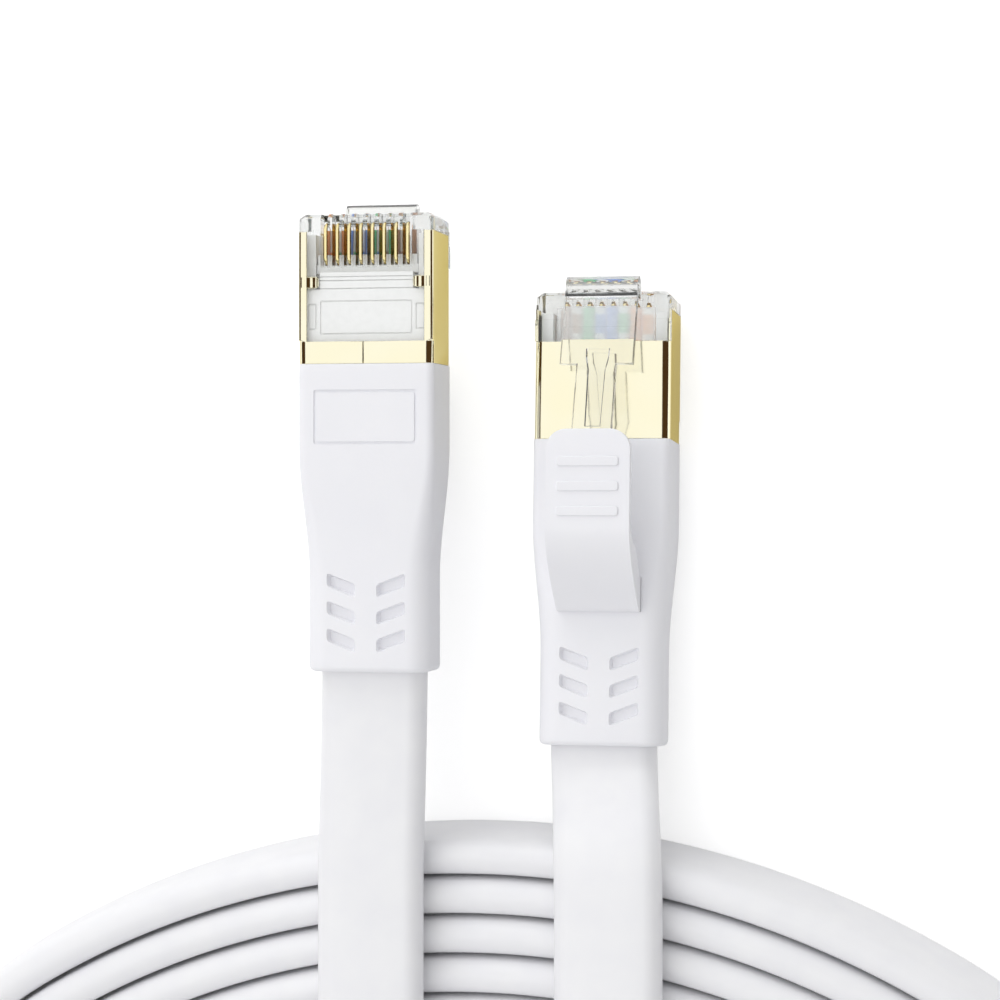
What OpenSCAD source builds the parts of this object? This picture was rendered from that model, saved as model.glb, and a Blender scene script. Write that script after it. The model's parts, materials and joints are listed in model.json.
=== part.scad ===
// Flat ethernet patch cable: two shielded 8P8C plugs with moulded boots on one flat cable,
// lying on a table. One plug lies contact side up, the other latch side up, and the spare
// cable is wound into an oval coil.
//
// Frame: millimetres, +Z up from the table, +Y the way the plugs point, origin under the
// middle of the two plugs. Each plug is drawn in its own frame first: x across, y towards
// the tip with 0 at the boot's front edge, +z on the latch side and 0 on the plug's axis.

/* [Plug] */
// Width of the plug over its metal shell
plug_w = 11.68; // [11.4:0.02:12]
// Depth of the plug from contact face to latch face
plug_d = 6.65; // [6.5:0.05:7.2]
// Length of the clear housing in front of the boot
front_len = 12.6; // [12.4:0.1:13.4]
// Length of the plug that is hidden in the boot
tail_len = 7; // [6:0.5:8]
// Chamfer round the housing's front edge
front_chamfer = 0.4; // [0.2:0.05:0.5]

/* [Metal shell] */
// Thickness of the shell's sheet
shell_t = 0.22; // [0.16:0.02:0.3]
// Length of the shell's side walls in front of the boot
shell_side_len = 11.1; // [10.6:0.1:11.6]
// Length of the shell on the latch face
shell_latch_len = 8.3; // [7.8:0.1:8.6]
// Length of the band on the contact face
band_len = 1.86; // [1.4:0.02:2.1]
// Radius of the shell's long edges
shell_edge_r = 0.5; // [0.3:0.05:0.7]
// Width of the shell inside the boot
shell_tail_w = 10.3; // [9.8:0.1:10.5]
// Depth of the shell inside the boot
shell_tail_d = 5.4; // [5.2:0.1:5.6]
// Width of the open seam in the band
seam_w = 0.12; // [0.08:0.02:0.2]
// Length of each folded tab on the contact face
tab_len = 1.5; // [1:0.1:1.7]
// Width of each folded tab
tab_w = 0.95; // [0.6:0.05:1.1]
// Distance of the tabs' middle from the boot
tab_y = 6.85; // [6.7:0.05:7.1]

/* [Contacts and wires] */
// Number of contacts
contact_count = 8; // [8:1:8]
// Distance from one contact to the next
contact_pitch = 1.016; // [1:0.002:1.02]
// Thickness of a contact blade
blade_t = 0.32; // [0.24:0.02:0.36]
// Length of a contact blade
blade_len = 3.5; // [3.2:0.1:3.6]
// Distance from the tip of the plug to a blade
blade_setback = 0.7; // [0.5:0.05:0.8]
// Depth of a blade's top edge under the contact face
blade_recess = 0.35; // [0.25:0.05:0.45]
// Width of a contact slot
slot_w = 0.62; // [0.54:0.02:0.68]
// Depth of a contact slot
slot_depth = 1.25; // [1.1:0.05:1.3]
// Diameter of an insulated wire
wire_dia = 0.98; // [0.9:0.01:0.99]
// Diameter of a copper conductor
core_dia = 0.56; // [0.5:0.02:0.62]
// Distance of the wires from the plug's axis, towards the contacts
wire_drop = 0.55; // [0.45:0.05:0.65]
// Length of the load bar
bar_len = 7.2; // [6.8:0.1:7.2]
// Clearance from the load bar to the contacts
bar_clear = 0.27; // [0.2:0.01:0.4]
// Width of the load bar
bar_w = 9.6; // [9.2:0.1:9.7]
// Depth of the load bar
bar_d = 4.2; // [3.8:0.1:4.3]
// Width of a foil-wrapped pair
foil_w = 2.0; // [1.9:0.02:2.02]
// Depth of a foil-wrapped pair
foil_d = 1.3; // [1.2:0.05:1.5]

/* [Latch] */
// Width of the latch at its root
latch_w = 6.2; // [5.8:0.1:6.4]
// Width of the latch's neck
latch_neck_w = 3.3; // [3:0.1:3.4]
// Thickness of the latch's tongue
latch_t = 0.9; // [0.8:0.05:1]
// Radius of the rounded root
latch_root_r = 1; // [0.9:0.05:1.1]
// Rise of the tongue at rest, in degrees
latch_rise = 20; // [19:0.5:20]
// Distance of the latch's root from the tip of the housing
latch_root_out = 0.3; // [0.2:0.05:0.4]
// Height of the root's centre above the plug's axis
latch_root_z = 2.9; // [2.8:0.05:3]
// Distance from the boot to the latch's shoulders
shoulder_y = 6; // [5.4:0.1:6.6]

/* [Boot] */
// Length of the boot
boot_len = 26; // [25:0.5:28]
// Height by which the boot stands proud of the shell
boot_proud = 0.06; // [0.02:0.02:0.1]
// Width of the boot at the cable end
boot_rear_w = 10.7; // [10.5:0.1:11]
// Depth of the boot at the cable end
boot_rear_d = 6.3; // [6:0.1:6.6]
// Radius of the boot's long edges at the cable end
boot_rear_r = 1.9; // [1.5:0.1:2.2]
// Radius of the boot's long edges at the plug end
boot_front_r = 0.7; // [0.5:0.05:0.9]
// Distance from the plug end to where the boot starts to narrow
taper_start = 7; // [6:0.5:7.5]
// Distance from the plug end to where the boot is at its narrowest
taper_end = 18; // [17.5:0.5:20]
// Radius of the rim at the cable end
rim_r = 0.5; // [0.4:0.05:0.7]
// Rows of strain relief slots
slot_rows = 3; // [2:1:3]
// Distance from one row of slots to the next
row_pitch = 2.32; // [2.1:0.05:2.4]
// Distance from the cable end to the middle of the last row
row_first = 2.7; // [2.5:0.1:3]
// Distance from the middle of the boot to a slot
relief_gap = 0.9; // [0.7:0.05:1.1]
// Length of a strain relief slot
relief_len = 2.5; // [2.2:0.05:2.6]
// Height of a strain relief slot
relief_h = 1.15; // [0.9:0.05:1.25]
// Depth of a strain relief slot
relief_depth = 1.35; // [0.9:0.05:1.45]
// Slope of the strain relief slots, in degrees
relief_slope = 21; // [16:1:25]
// Length of the engraved frame
frame_w = 8.95; // [8.4:0.05:9.2]
// Height of the engraved frame
frame_h = 4.6; // [4:0.1:5]
// Distance from the plug end to the engraved frame
frame_y = 2.2; // [1.8:0.1:2.4]

/* [Press pad] */
// Width of the press pad
pad_w = 7.05; // [6.6:0.05:7.4]
// Height of the pad's top face above the plug's axis
pad_z = 10; // [9.9:0.05:10.1]
// Length by which the pad reaches past the boot
pad_over = 0.25; // [0.1:0.05:0.4]
// Length of the pad's flat part
pad_flat = 9.4; // [9.1:0.1:9.6]
// Thickness of the pad's flat part
pad_t = 0.85; // [0.75:0.05:0.9]
// Distance from the plug end to the pad's hinge line
pad_hinge_back = 13.2; // [13:0.1:13.5]
// Radius of the pad's rounded root
pad_root_r = 1.5; // [1.3:0.05:1.55]
// Height of the hinge line above the plug's axis
pad_hinge_z = 3.6; // [3.4:0.05:3.7]
// Radius of the pad's front corners
pad_corner_r = 1.7; // [1.2:0.1:2]
// Height of the pad's grip ribs
rib_h = 0.15; // [0.1:0.05:0.3]
// Distance from one grip rib to the next
rib_pitch = 2.06; // [1.8:0.02:2.3]

/* [Cable] */
// Width of the flat cable
cable_w = 9.2; // [8.8:0.1:9.3]
// Thickness of the flat cable
cable_t = 3; // [2.9:0.05:3.1]
// Length of the metal ferrule round the cable
ferrule_len = 4.6; // [4:0.2:5]
// Thickness of the ferrule
ferrule_t = 0.25; // [0.2:0.01:0.3]

/* [Coil] */
// Turns in the coil
coil_turns = 6; // [5:1:6]
// Distance from one turn to the next
turn_pitch = 3.38; // [3.2:0.02:3.45]
// Lean of the cable in the coil, in degrees from lying flat
coil_lean = 82; // [80:1:84]
// Half of the angle of each long side's arc
coil_side_angle = 31; // [28:0.5:33]
// Half of the coil's width, along Y
coil_half_y = 47; // [46:1:48]
// Radius of the coil's long sides
coil_long_r = 81.5; // [78:0.5:86]
// Width of the strap round the coil
strap_w = 7; // [5:0.5:9]
// Thickness of the strap
strap_t = 0.5; // [0.4:0.05:0.55]

/* [Layout] */
// Distance between the two plugs' axes
plug_gap = 19; // [18.5:0.1:20]
// Distance by which the left plug lies ahead of the right one
stagger = 6.5; // [6:0.1:7]
// Tilt of the right plug, tip down, in degrees
tilt = 4; // [3.5:0.25:4.5]
// Clearance under the left plug's press pad
pad_clear = 0.4; // [0.3:0.05:0.6]
// Clearance between fitted pieces
fit = 0.05; // [0.02:0.01:0.06]
// Running clearance round a rounded root
run = 0.12; // [0.1:0.01:0.15]

/* [Hidden] */
tiny = 0.01;
round_fn = 48;
hull_fn = 32;
WIRE_COLOURS = [
    "#F3C9A0", "#E8792B", "#BFE3C6", "#2F62B5", "#BCD0EE", "#2E9B57", "#D9C3B0", "#7A4A2A"
];

// Plug sizes that follow from the ones above
core_w = plug_w - 2 * shell_t;
core_d = plug_d - 2 * shell_t;
tail_w = shell_tail_w - 2 * shell_t;
tail_d = shell_tail_d - 2 * shell_t;
wire_z = -wire_drop;
wire_end = front_len - 1.3;
blade_front = front_len - blade_setback;
blade_back = blade_front - blade_len;
bar_front = blade_back - bar_clear;
bar_back = bar_front - bar_len;
blade_top = -plug_d / 2 + blade_recess;
slot_back = blade_back - 0.3;
slot_floor = -plug_d / 2 + slot_depth;
foil_pitch = 2 * contact_pitch;
jacket_end = -tail_len - 1;
step_y = front_len - 2.4;
step_t = 0.15;

// Latch
root_y = front_len + latch_root_out;
latch_dir = [-cos(latch_rise), sin(latch_rise)];
latch_up = [sin(latch_rise), cos(latch_rise)];
latch_top_y = root_y + latch_root_r * latch_up[0];
latch_len = (latch_top_y + 0.8) / cos(latch_rise);

// Boot and press pad
boot_front_w = plug_w + 2 * boot_proud;
boot_front_d = plug_d + 2 * boot_proud;
channel_clear = 0.1;
ferrule_w = cable_w + 2 * channel_clear + 2 * ferrule_t;
ferrule_d = cable_t + 2 * channel_clear + 2 * ferrule_t;
ferrule_front = jacket_end - 0.6;
ferrule_back = ferrule_front - ferrule_len;
pad_front = pad_over;
pad_flat_back = pad_front - pad_flat;
pad_hinge_y = -pad_hinge_back;

// Coil
cable_r = cable_t / 2;
cable_flat = cable_w - cable_t;
lean_run = cable_flat * cos(coil_lean);
lean_rise = cable_flat * sin(coil_lean);
coil_h = lean_rise + cable_t;
turn_w = lean_run + cable_t;
band_w = turn_w + (coil_turns - 1) * turn_pitch;
coil_long_c = coil_long_r - coil_half_y;
// The end arcs meet the long arcs smoothly at coil_side_angle
coil_end_r = coil_long_r - coil_long_c / cos(coil_side_angle);
coil_end_c = coil_long_c * tan(coil_side_angle);
coil_half_x = coil_end_c + coil_end_r;
coil_x = -0.7;
coil_y = -77.3;
coil_inner_r = coil_end_r - band_w;
strap_gap = 0.15;
strap_h = coil_h + 2 * strap_t + 2 * strap_gap;
strap_out = coil_half_x + strap_gap;
strap_sag = coil_inner_r - sqrt(pow(coil_inner_r, 2) - pow(strap_w / 2, 2));
strap_in = coil_half_x - band_w - strap_sag - strap_gap;

// Where the two plugs lie
sin_t = sin(tilt);
cos_t = cos(tilt);
a_x = -plug_gap / 2;
b_x = plug_gap / 2;
a_z = pad_z + rib_h + pad_clear;
b_z = (front_len - front_chamfer) * sin_t + plug_d / 2 * cos_t;
nose_len = root_y + latch_root_r;
boot_reach = boot_len * cos_t + (boot_rear_d / 2 - rim_r) * sin_t;
a_y = (stagger + boot_reach - nose_len) / 2;
b_y = a_y - stagger;

// Points of the left plug and of the right one that lie y along the plug's own axis
function in_a(y) = [a_x, a_y + y, a_z, 0];
function in_b(y) = [b_x, b_y + y * cos_t, b_z - y * sin_t, 0];

// Each point is [x, y, z, lean]. From the left plug over the coil, down inside it and
// into its innermost turn
ROUTE_A = concat([in_a(jacket_end), in_a(-boot_len / 2), in_a(-boot_len)], [
    [-9.55, -21, 10.6, 0], [-9.65, -27, 10.75, 0], [-9.75, -33, 11, 0], [-9.75, -39, 11.05, 0],
    [-9.75, -45, 11.05, 0], [-9.75, -51, 10.85, 0], [-9.75, -57, 10, 4], [-9.75, -63, 8.5, 12],
    [-9.9, -69, 6.95, 26], [-10.8, -75.5, 5.7, 42], [-13, -82, 4.95, 58], [-16.8, -88, 4.75, 70],
    [-22.2, -92.7, 4.65, 77], [-28.5, -94.9, 4.65, 81]
]);
// From the right plug up over the coil, across its middle, over its far side and down
// into its outermost turn
ROUTE_B = concat([in_b(jacket_end), in_b(-boot_len / 2), in_b(-boot_len)], [
    [9.6, -25, 6.35, 0], [9.83, -27, 7.3, 0], [10.15, -29, 8.8, 0], [10.46, -31, 10.3, 0],
    [10.63, -33, 10.95, 0], [10.7, -36, 11.1, 0], [10.7, -42, 11.1, 0], [10.7, -48, 11.1, 0],
    [10.7, -54, 10.95, 0], [10.6, -61, 10.4, 0], [10.5, -69, 9.9, 0], [10.5, -77, 9.9, 0],
    [10.7, -84, 10.3, 0], [12, -92.5, 10.95, 0], [16.2, -100.4, 11.1, -2], [22.5, -106.3, 11.1, -3],
    [29, -109.6, 11.1, -4], [36, -110.4, 11.1, -7], [42.9, -108.2, 10.5, -18],
    [48.6, -104, 9.1, -36], [53.4, -98.2, 7.1, -54]
]);

// ---------------------------------------------------------------- shapes that repeat

// Rectangle with true round corners
module round_rect(w, d, r) {
    square([w - 2 * r, d], center = true);
    square([w, d - 2 * r], center = true);
    for (sx = [-1, 1], sy = [-1, 1])
        translate([sx * (w / 2 - r), sy * (d / 2 - r)]) circle(r, $fn = round_fn);
}

// Outline of the flat cable, grown by a margin
module cable_outline(margin) {
    square([cable_flat, cable_t + 2 * margin], center = true);
    for (s = [-1, 1])
        translate([s * cable_flat / 2, 0]) circle(cable_r + margin, $fn = round_fn);
}

// Runs a flat shape along Y, from y0 to y1
module along_y(y0, y1) {
    translate([0, y1, 0]) rotate([90, 0, 0]) linear_extrude(y1 - y0) children();
}

// Runs a side view, drawn as [y, z], across X
module across_x(w) {
    translate([-w / 2, 0, 0]) rotate([90, 0, 90]) linear_extrude(w) children();
}

// Box given by its sides along X and Z and its two ends along Y
module bar(w, d, y0, y1) {
    translate([-w / 2, y0, -d / 2]) cube([w, y1 - y0, d]);
}

// Places children at each contact, with the first on the +X side
module each_contact() {
    for (i = [0 : contact_count - 1])
        translate([((contact_count - 1) / 2 - i) * contact_pitch, 0, 0]) children();
}

// Points round a rounded rectangle in the XZ plane at one y
function ring(y, w, d, r, steps = 6) = [
    for (k = [0 : 3], j = [0 : steps])
        let (a = 90 * k + 90 * j / steps)
        let (sx = (k == 0 || k == 3) ? 1 : -1, sz = k < 2 ? 1 : -1)
        [sx * (w / 2 - r) + r * cos(a), y, sz * (d / 2 - r) + r * sin(a)]
];

// Closed skin through rings that all hold the same number of points
module skin(rings) {
    n = len(rings[0]);
    m = len(rings);
    polyhedron(
        points = [for (one = rings) for (p = one) p],
        faces = concat(
            [[for (i = [0 : n - 1]) i]],
            [for (k = [0 : m - 2], i = [0 : n - 1])
                [k * n + i, (k + 1) * n + i, (k + 1) * n + (i + 1) % n]],
            [for (k = [0 : m - 2], i = [0 : n - 1])
                [k * n + i, (k + 1) * n + (i + 1) % n, k * n + (i + 1) % n]],
            [[for (i = [n - 1 : -1 : 0]) (m - 1) * n + i]]
        ),
        convexity = 6
    );
}

// ---------------------------------------------------------------- plug pieces

// Clear body: full size at the tip, inside the shell behind it, narrow inside the boot
module housing_body() {
    lip = shell_edge_r;
    bar(core_w - 2 * tiny, core_d - 2 * tiny, shell_t + tiny, front_len - front_chamfer);
    bar(tail_w - 2 * tiny, tail_d - 2 * tiny, -tail_len, shell_t + tiny);
    intersection() {
        bar(plug_w, plug_d, shell_side_len + fit, front_len);
        across_x(plug_w) polygon([
            [0, -plug_d / 2], [front_len - front_chamfer, -plug_d / 2],
            [front_len, -plug_d / 2 + front_chamfer], [front_len, plug_d / 2 - step_t - front_chamfer],
            [front_len - front_chamfer, plug_d / 2 - step_t], [step_y, plug_d / 2 - step_t],
            [step_y, plug_d / 2], [0, plug_d / 2]
        ]);
        translate([0, 0, -plug_d / 2]) linear_extrude(plug_d) polygon([
            [-plug_w / 2, 0], [plug_w / 2, 0], [plug_w / 2, front_len - front_chamfer],
            [plug_w / 2 - front_chamfer, front_len], [-plug_w / 2 + front_chamfer, front_len],
            [-plug_w / 2, front_len - front_chamfer]
        ]);
    }
    // Raised faces that lie flush in the shell's two windows
    translate([-plug_w / 2 + lip + fit, band_len + fit, -plug_d / 2])
        cube([plug_w - 2 * lip - 2 * fit, shell_side_len - band_len, plug_d / 2]);
    translate([-plug_w / 2 + lip + fit, shell_latch_len + fit, 0])
        cube([plug_w - 2 * lip - 2 * fit, step_y - shell_latch_len - fit, plug_d / 2]);
}

// Slots that open the contact face and the tip, with a slit for each blade
module contact_cuts() {
    each_contact() {
        translate([-slot_w / 2, slot_back, -plug_d / 2 - 1])
            cube([slot_w, front_len - slot_back + 1, slot_depth + 1]);
        translate([-blade_t / 2 - tiny, blade_back - tiny, -plug_d / 2])
            cube([blade_t + 2 * tiny, blade_len + 2 * tiny, plug_d / 2 + wire_z]);
    }
}

// Shallow panels moulded in the contact face
module panel_cuts() {
    panel_t = 0.12;
    panel_w = 8;
    side_w = 0.8;
    panel_y = band_len + 0.6;
    translate([-panel_w / 2, panel_y, -plug_d / 2 - tiny]) cube([panel_w, 2.85, panel_t + tiny]);
    for (s = [-1, 1])
        translate([s * (panel_w / 2 + 0.7) - side_w / 2, panel_y + 0.4, -plug_d / 2 - tiny])
            cube([side_w, 2.2, panel_t + tiny]);
}

module housing() {
    color("#EDF1F2")
    difference() {
        housing_body();
        bar(bar_w + 2 * fit, bar_d + 2 * fit, bar_back - fit, bar_front + fit);
        along_y(-tail_len - 1, bar_back) cable_outline(fit);
        along_y(bar_front, wire_end + fit) translate([0, wire_z])
            square([contact_count * contact_pitch, wire_dia + 2 * tiny], center = true);
        contact_cuts();
        panel_cuts();
        // Pockets for the shell's tabs
        for (s = [-1, 1])
            translate([s * (plug_w / 2 - tab_len / 2) - tab_len / 2 - fit, tab_y - tab_w / 2 - fit, -plug_d / 2 - 1])
                cube([tab_len + 2 * fit, tab_w + 2 * fit, 1 + shell_t + fit]);
        // Seat of the latch's root, and room for the tongue behind it
        translate([-latch_w / 2 - run, root_y, latch_root_z]) rotate([0, 90, 0])
            cylinder(r = latch_root_r + run, h = latch_w + 2 * run, $fn = round_fn);
        translate([-latch_w / 2 - run, root_y - 3.5, latch_root_z - fit])
            cube([latch_w + 2 * run, 3.5, plug_d]);
    }
}

// Tongue of the latch in side view, from its root to its tip under the press pad
module tongue_side() {
    top = [root_y, latch_root_z] + (latch_root_r - tiny) * latch_up;
    low = top - latch_t * latch_up;
    polygon([low, low + latch_len * latch_dir, top + latch_len * latch_dir, top]);
}

module latch() {
    color("#E7ECEE") {
        translate([-latch_w / 2, root_y, latch_root_z]) rotate([0, 90, 0])
            cylinder(r = latch_root_r, h = latch_w, $fn = round_fn);
        intersection() {
            across_x(latch_w - 2 * tiny) tongue_side();
            linear_extrude(3 * plug_d) {
                translate([-latch_w / 2, shoulder_y]) square([latch_w, 2 * plug_d]);
                translate([-latch_neck_w / 2, -boot_len])
                    square([latch_neck_w, boot_len + shoulder_y + 1]);
            }
        }
    }
}

// Blade in side view: a rounded top edge and two tines that pierce the wire
module blade_side() {
    tine = 0.8;
    root_z = wire_z - wire_dia / 2 - fit;
    tip_z = wire_z + 0.1;
    polygon([
        [blade_back, blade_top + 0.5], [blade_back + 0.15, blade_top + 0.15], [blade_back + 0.5, blade_top],
        [blade_front - 0.5, blade_top], [blade_front - 0.15, blade_top + 0.15], [blade_front, blade_top + 0.5],
        [blade_front, root_z], [blade_front - tine / 2, tip_z], [blade_front - tine, root_z],
        [blade_back + tine, root_z], [blade_back + tine / 2, tip_z], [blade_back, root_z]
    ]);
}

module contacts() {
    color("#E3B54A") each_contact() across_x(blade_t) blade_side();
}

// Room that the blades take out of a wire
module tine_room() {
    translate([-blade_t / 2 - tiny, blade_back - tiny, -plug_d / 2])
        cube([blade_t + 2 * tiny, blade_len + 2 * tiny, plug_d / 2 + wire_z + 0.1 + tiny]);
}

// Straight round stretch along Y at the height of the wires
module wire_rod(dia, y0, y1) {
    translate([0, y1, wire_z]) rotate([90, 0, 0]) cylinder(d = dia, h = y1 - y0, $fn = round_fn);
}

// Insulation of one wire, by its place among the contacts
module wire(i) {
    color(WIRE_COLOURS[i])
    translate([((contact_count - 1) / 2 - i) * contact_pitch, 0, 0]) difference() {
        wire_rod(wire_dia, bar_back, wire_end);
        wire_rod(core_dia, bar_back - 1, wire_end + 1);
        tine_room();
    }
}

module copper_cores() {
    color("#C9764A") each_contact() difference() {
        wire_rod(core_dia, bar_back, wire_end - 0.02);
        tine_room();
    }
}

module load_bar() {
    color("#F2F2EF") difference() {
        bar(bar_w, bar_d, bar_back, bar_front);
        each_contact() wire_rod(wire_dia + 2 * tiny, bar_back - 1, bar_front + 1);
    }
}

module pair_foils() {
    color("#C9CCD0")
    for (i = [0 : contact_count / 2 - 1])
        translate([(i - (contact_count / 2 - 1) / 2) * foil_pitch, 0, 0])
            along_y(jacket_end, bar_back - fit) round_rect(foil_w, foil_d, foil_d / 2 - tiny);
}

// Gold-plated shell: a sleeve with two windows, a band with an open seam, and folded tabs
module shield() {
    lip = shell_edge_r;
    color("#E8CF87") {
        difference() {
            union() {
                along_y(0, shell_side_len) round_rect(plug_w, plug_d, shell_edge_r);
                along_y(-tail_len, shell_t) round_rect(shell_tail_w, shell_tail_d, shell_edge_r);
            }
            bar(core_w, core_d, shell_t, shell_side_len + 1);
            bar(tail_w, tail_d, -tail_len - 1, shell_t + 1);
            translate([-plug_w / 2 + lip, band_len, -plug_d])
                cube([plug_w - 2 * lip, shell_side_len, plug_d / 2 + 2 * shell_t]);
            translate([-plug_w / 2 + lip, shell_latch_len, plug_d / 2 - 2 * shell_t])
                cube([plug_w - 2 * lip, shell_side_len, plug_d]);
            translate([0.13, -fit, -plug_d]) cube([seam_w, band_len + 1, plug_d]);
        }
        for (s = [-1, 1])
            translate([s * (plug_w / 2 - lip / 2 - tab_len / 2) - tab_len / 2, tab_y - tab_w / 2, -plug_d / 2])
                cube([tab_len, tab_w, shell_t]);
    }
}

module ferrule() {
    color("#D9C27A") difference() {
        along_y(ferrule_back, ferrule_front) cable_outline(channel_clear + ferrule_t);
        along_y(ferrule_back - 1, ferrule_front + 1) cable_outline(channel_clear);
    }
}

module inner_mould() {
    color("#E9E9EC") difference() {
        along_y(ferrule_front + fit, -tail_len - fit)
            round_rect(shell_tail_w, shell_tail_d, shell_edge_r);
        along_y(ferrule_front - 1, 0) cable_outline(fit);
    }
}

// Share of the taper that is done at a distance t, from 0 to 1
function eased(t) = t * t * (3 - 2 * t);

// Outer form of the boot: straight, narrowing in an S, straight, with a round rim
function boot_ring(y, share, inset) = ring(
    y,
    boot_front_w + (boot_rear_w - boot_front_w) * share - 2 * inset,
    boot_front_d + (boot_rear_d - boot_front_d) * share - 2 * inset,
    max(boot_front_r + (boot_rear_r - boot_front_r) * share - inset, 0.2)
);

module boot_body() {
    steps = 8;
    rim_steps = 4;
    skin(concat(
        [for (k = [rim_steps : -1 : 1])
            let (a = 90 * k / rim_steps)
            boot_ring(-boot_len + rim_r * (1 - sin(a)), 1, rim_r * (1 - cos(a)))],
        [for (k = [steps : -1 : 0])
            boot_ring(-taper_start - (taper_end - taper_start) * k / steps, eased(k / steps), 0)],
        [boot_ring(0, 0, 0)]
    ));
}

// One face's strain relief slots, cut from above
module relief_slots(face_z) {
    for (row = [0 : slot_rows - 1], s = [-1, 1])
        translate([0, -boot_len + row_first + row * row_pitch, face_z - relief_depth])
            linear_extrude(relief_depth + 1) polygon([
                [s * relief_gap, -relief_len / 2 * tan(relief_slope) - relief_h / 2],
                [s * (relief_gap + relief_len), relief_len / 2 * tan(relief_slope) - relief_h / 2],
                [s * (relief_gap + relief_len), relief_len / 2 * tan(relief_slope) + relief_h / 2],
                [s * relief_gap, -relief_len / 2 * tan(relief_slope) + relief_h / 2]
            ]);
}

// Thin engraved frame on the contact side
module engraved_frame() {
    line_w = 0.22;
    line_t = 0.12;
    translate([0, -frame_y - frame_h / 2, -boot_front_d / 2 - 1]) linear_extrude(1 + line_t)
        difference() {
            square([frame_w, frame_h], center = true);
            square([frame_w - 2 * line_w, frame_h - 2 * line_w], center = true);
        }
}

module boot() {
    color("#F0F0F4") difference() {
        boot_body();
        along_y(ferrule_front, 1)
            round_rect(shell_tail_w + 2 * fit, shell_tail_d + 2 * fit, shell_edge_r);
        along_y(ferrule_back - fit, ferrule_front + 1) cable_outline(channel_clear + ferrule_t + fit);
        along_y(-boot_len - 1, ferrule_back) cable_outline(channel_clear);
        relief_slots(boot_rear_d / 2);
        mirror([0, 0, 1]) relief_slots(boot_rear_d / 2);
        engraved_frame();
        // Groove for the press pad's rounded root
        translate([-pad_w / 2 - run, pad_hinge_y, pad_hinge_z]) rotate([0, 90, 0])
            cylinder(r = pad_root_r + run, h = pad_w + 2 * run, $fn = round_fn);
    }
}

// Side view of the press pad's ramp and of its flat tongue over the latch
module pad_side() {
    under = pad_z - pad_t;
    hinge = [pad_hinge_y, pad_hinge_z];
    polygon([
        hinge + 0.8 * pad_root_r * [cos(20), sin(20)],
        [pad_hinge_y + 2.9, pad_hinge_z + 1.5],
        [pad_flat_back, under - 1.7],
        [pad_flat_back + 0.8, under - 0.5],
        [pad_flat_back + 1.9, under],
        [pad_front, under],
        [pad_front, pad_z],
        [pad_flat_back + 0.7, pad_z],
        [pad_flat_back - 0.5, pad_z - 0.35],
        hinge + 0.93 * pad_root_r * [-sin(43), cos(43)]
    ]);
}

// Plan of the press pad, with its round front corners
module pad_plan() {
    w = pad_w - 2 * tiny;
    translate([-w / 2, -boot_len]) square([w, boot_len + pad_front - pad_corner_r]);
    translate([-w / 2 + pad_corner_r, -boot_len])
        square([w - 2 * pad_corner_r, boot_len + pad_front]);
    for (s = [-1, 1]) translate([s * (w / 2 - pad_corner_r), pad_front - pad_corner_r])
        circle(pad_corner_r, $fn = round_fn);
}

module press_pad() {
    rib_len = 5.2;
    rib_w = 0.83;
    color("#F1F1F5") {
        translate([-pad_w / 2, pad_hinge_y, pad_hinge_z]) rotate([0, 90, 0])
            cylinder(r = pad_root_r, h = pad_w, $fn = round_fn);
        intersection() {
            across_x(pad_w) pad_side();
            linear_extrude(3 * plug_d) pad_plan();
        }
        for (i = [0 : 2])
            translate([-rib_len / 2, pad_front - 3.1 - i * rib_pitch, pad_z - 0.1])
                cube([rib_len, rib_w, rib_h + 0.1]);
    }
}

// ---------------------------------------------------------------- cable

// Points of the flat cable's outline, with a half circle in three steps at each edge
CABLE_SECTION = [
    for (s = [1, -1], a = [-90, -30, 30, 90])
        [s * (cable_flat / 2 + cable_r * cos(a)), s * cable_r * sin(a)]
];

function unit(v) = v / norm(v);
function spot(p) = [p[0], p[1], p[2]];
function heading(route, i) =
    unit(spot(route[min(i + 1, len(route) - 1)]) - spot(route[max(i - 1, 0)]));

// The section at one point of a route, leaned about its heading by the point's fourth value
function section_at(route, i) =
    let (t = heading(route, i), lean = route[i][3])
    let (side = unit([t[1], -t[0], 0]), up = cross(side, t))
    let (across = side * cos(lean) + up * sin(lean), over = up * cos(lean) - side * sin(lean))
    [for (q = CABLE_SECTION) spot(route[i]) + across * q[0] + over * q[1]];

module ribbon(route) {
    color("#F1F1F1") skin([for (i = [0 : len(route) - 1]) section_at(route, i)]);
}

module lead_a() {
    ribbon(ROUTE_A);
}

module lead_b() {
    ribbon(ROUTE_B);
}

// Section of all the turns together, drawn as [inward offset, z] from a radius r. The
// share slim is taken off its width and height
module coil_section(r, slim) {
    top_z = cable_r + lean_rise;
    in_low = band_w - lean_run;
    middle = [band_w / 2, coil_h / 2];
    outline = [
        [cable_r * 0.3, cable_r * 0.3], [0, cable_r], [lean_run, top_z],
        [lean_run + cable_r * 0.3, coil_h - cable_r * 0.3], [lean_run + cable_r, coil_h],
        [band_w - cable_r, coil_h], [band_w - cable_r * 0.3, coil_h - cable_r * 0.3],
        [band_w, top_z], [in_low, cable_r], [in_low - cable_r * 0.3, cable_r * 0.3],
        [in_low - cable_r, 0], [cable_r, 0]
    ];
    polygon([for (p = outline) let (q = p + slim * (middle - p)) [r - q[0], q[1]]]);
}

// One arc of the coil's oval, about its own centre
module coil_arc(r, from, sweep, slim = 0) {
    rotate([0, 0, from]) rotate_extrude(angle = sweep, $fn = 4 * round_fn) coil_section(r, slim);
}

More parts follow.
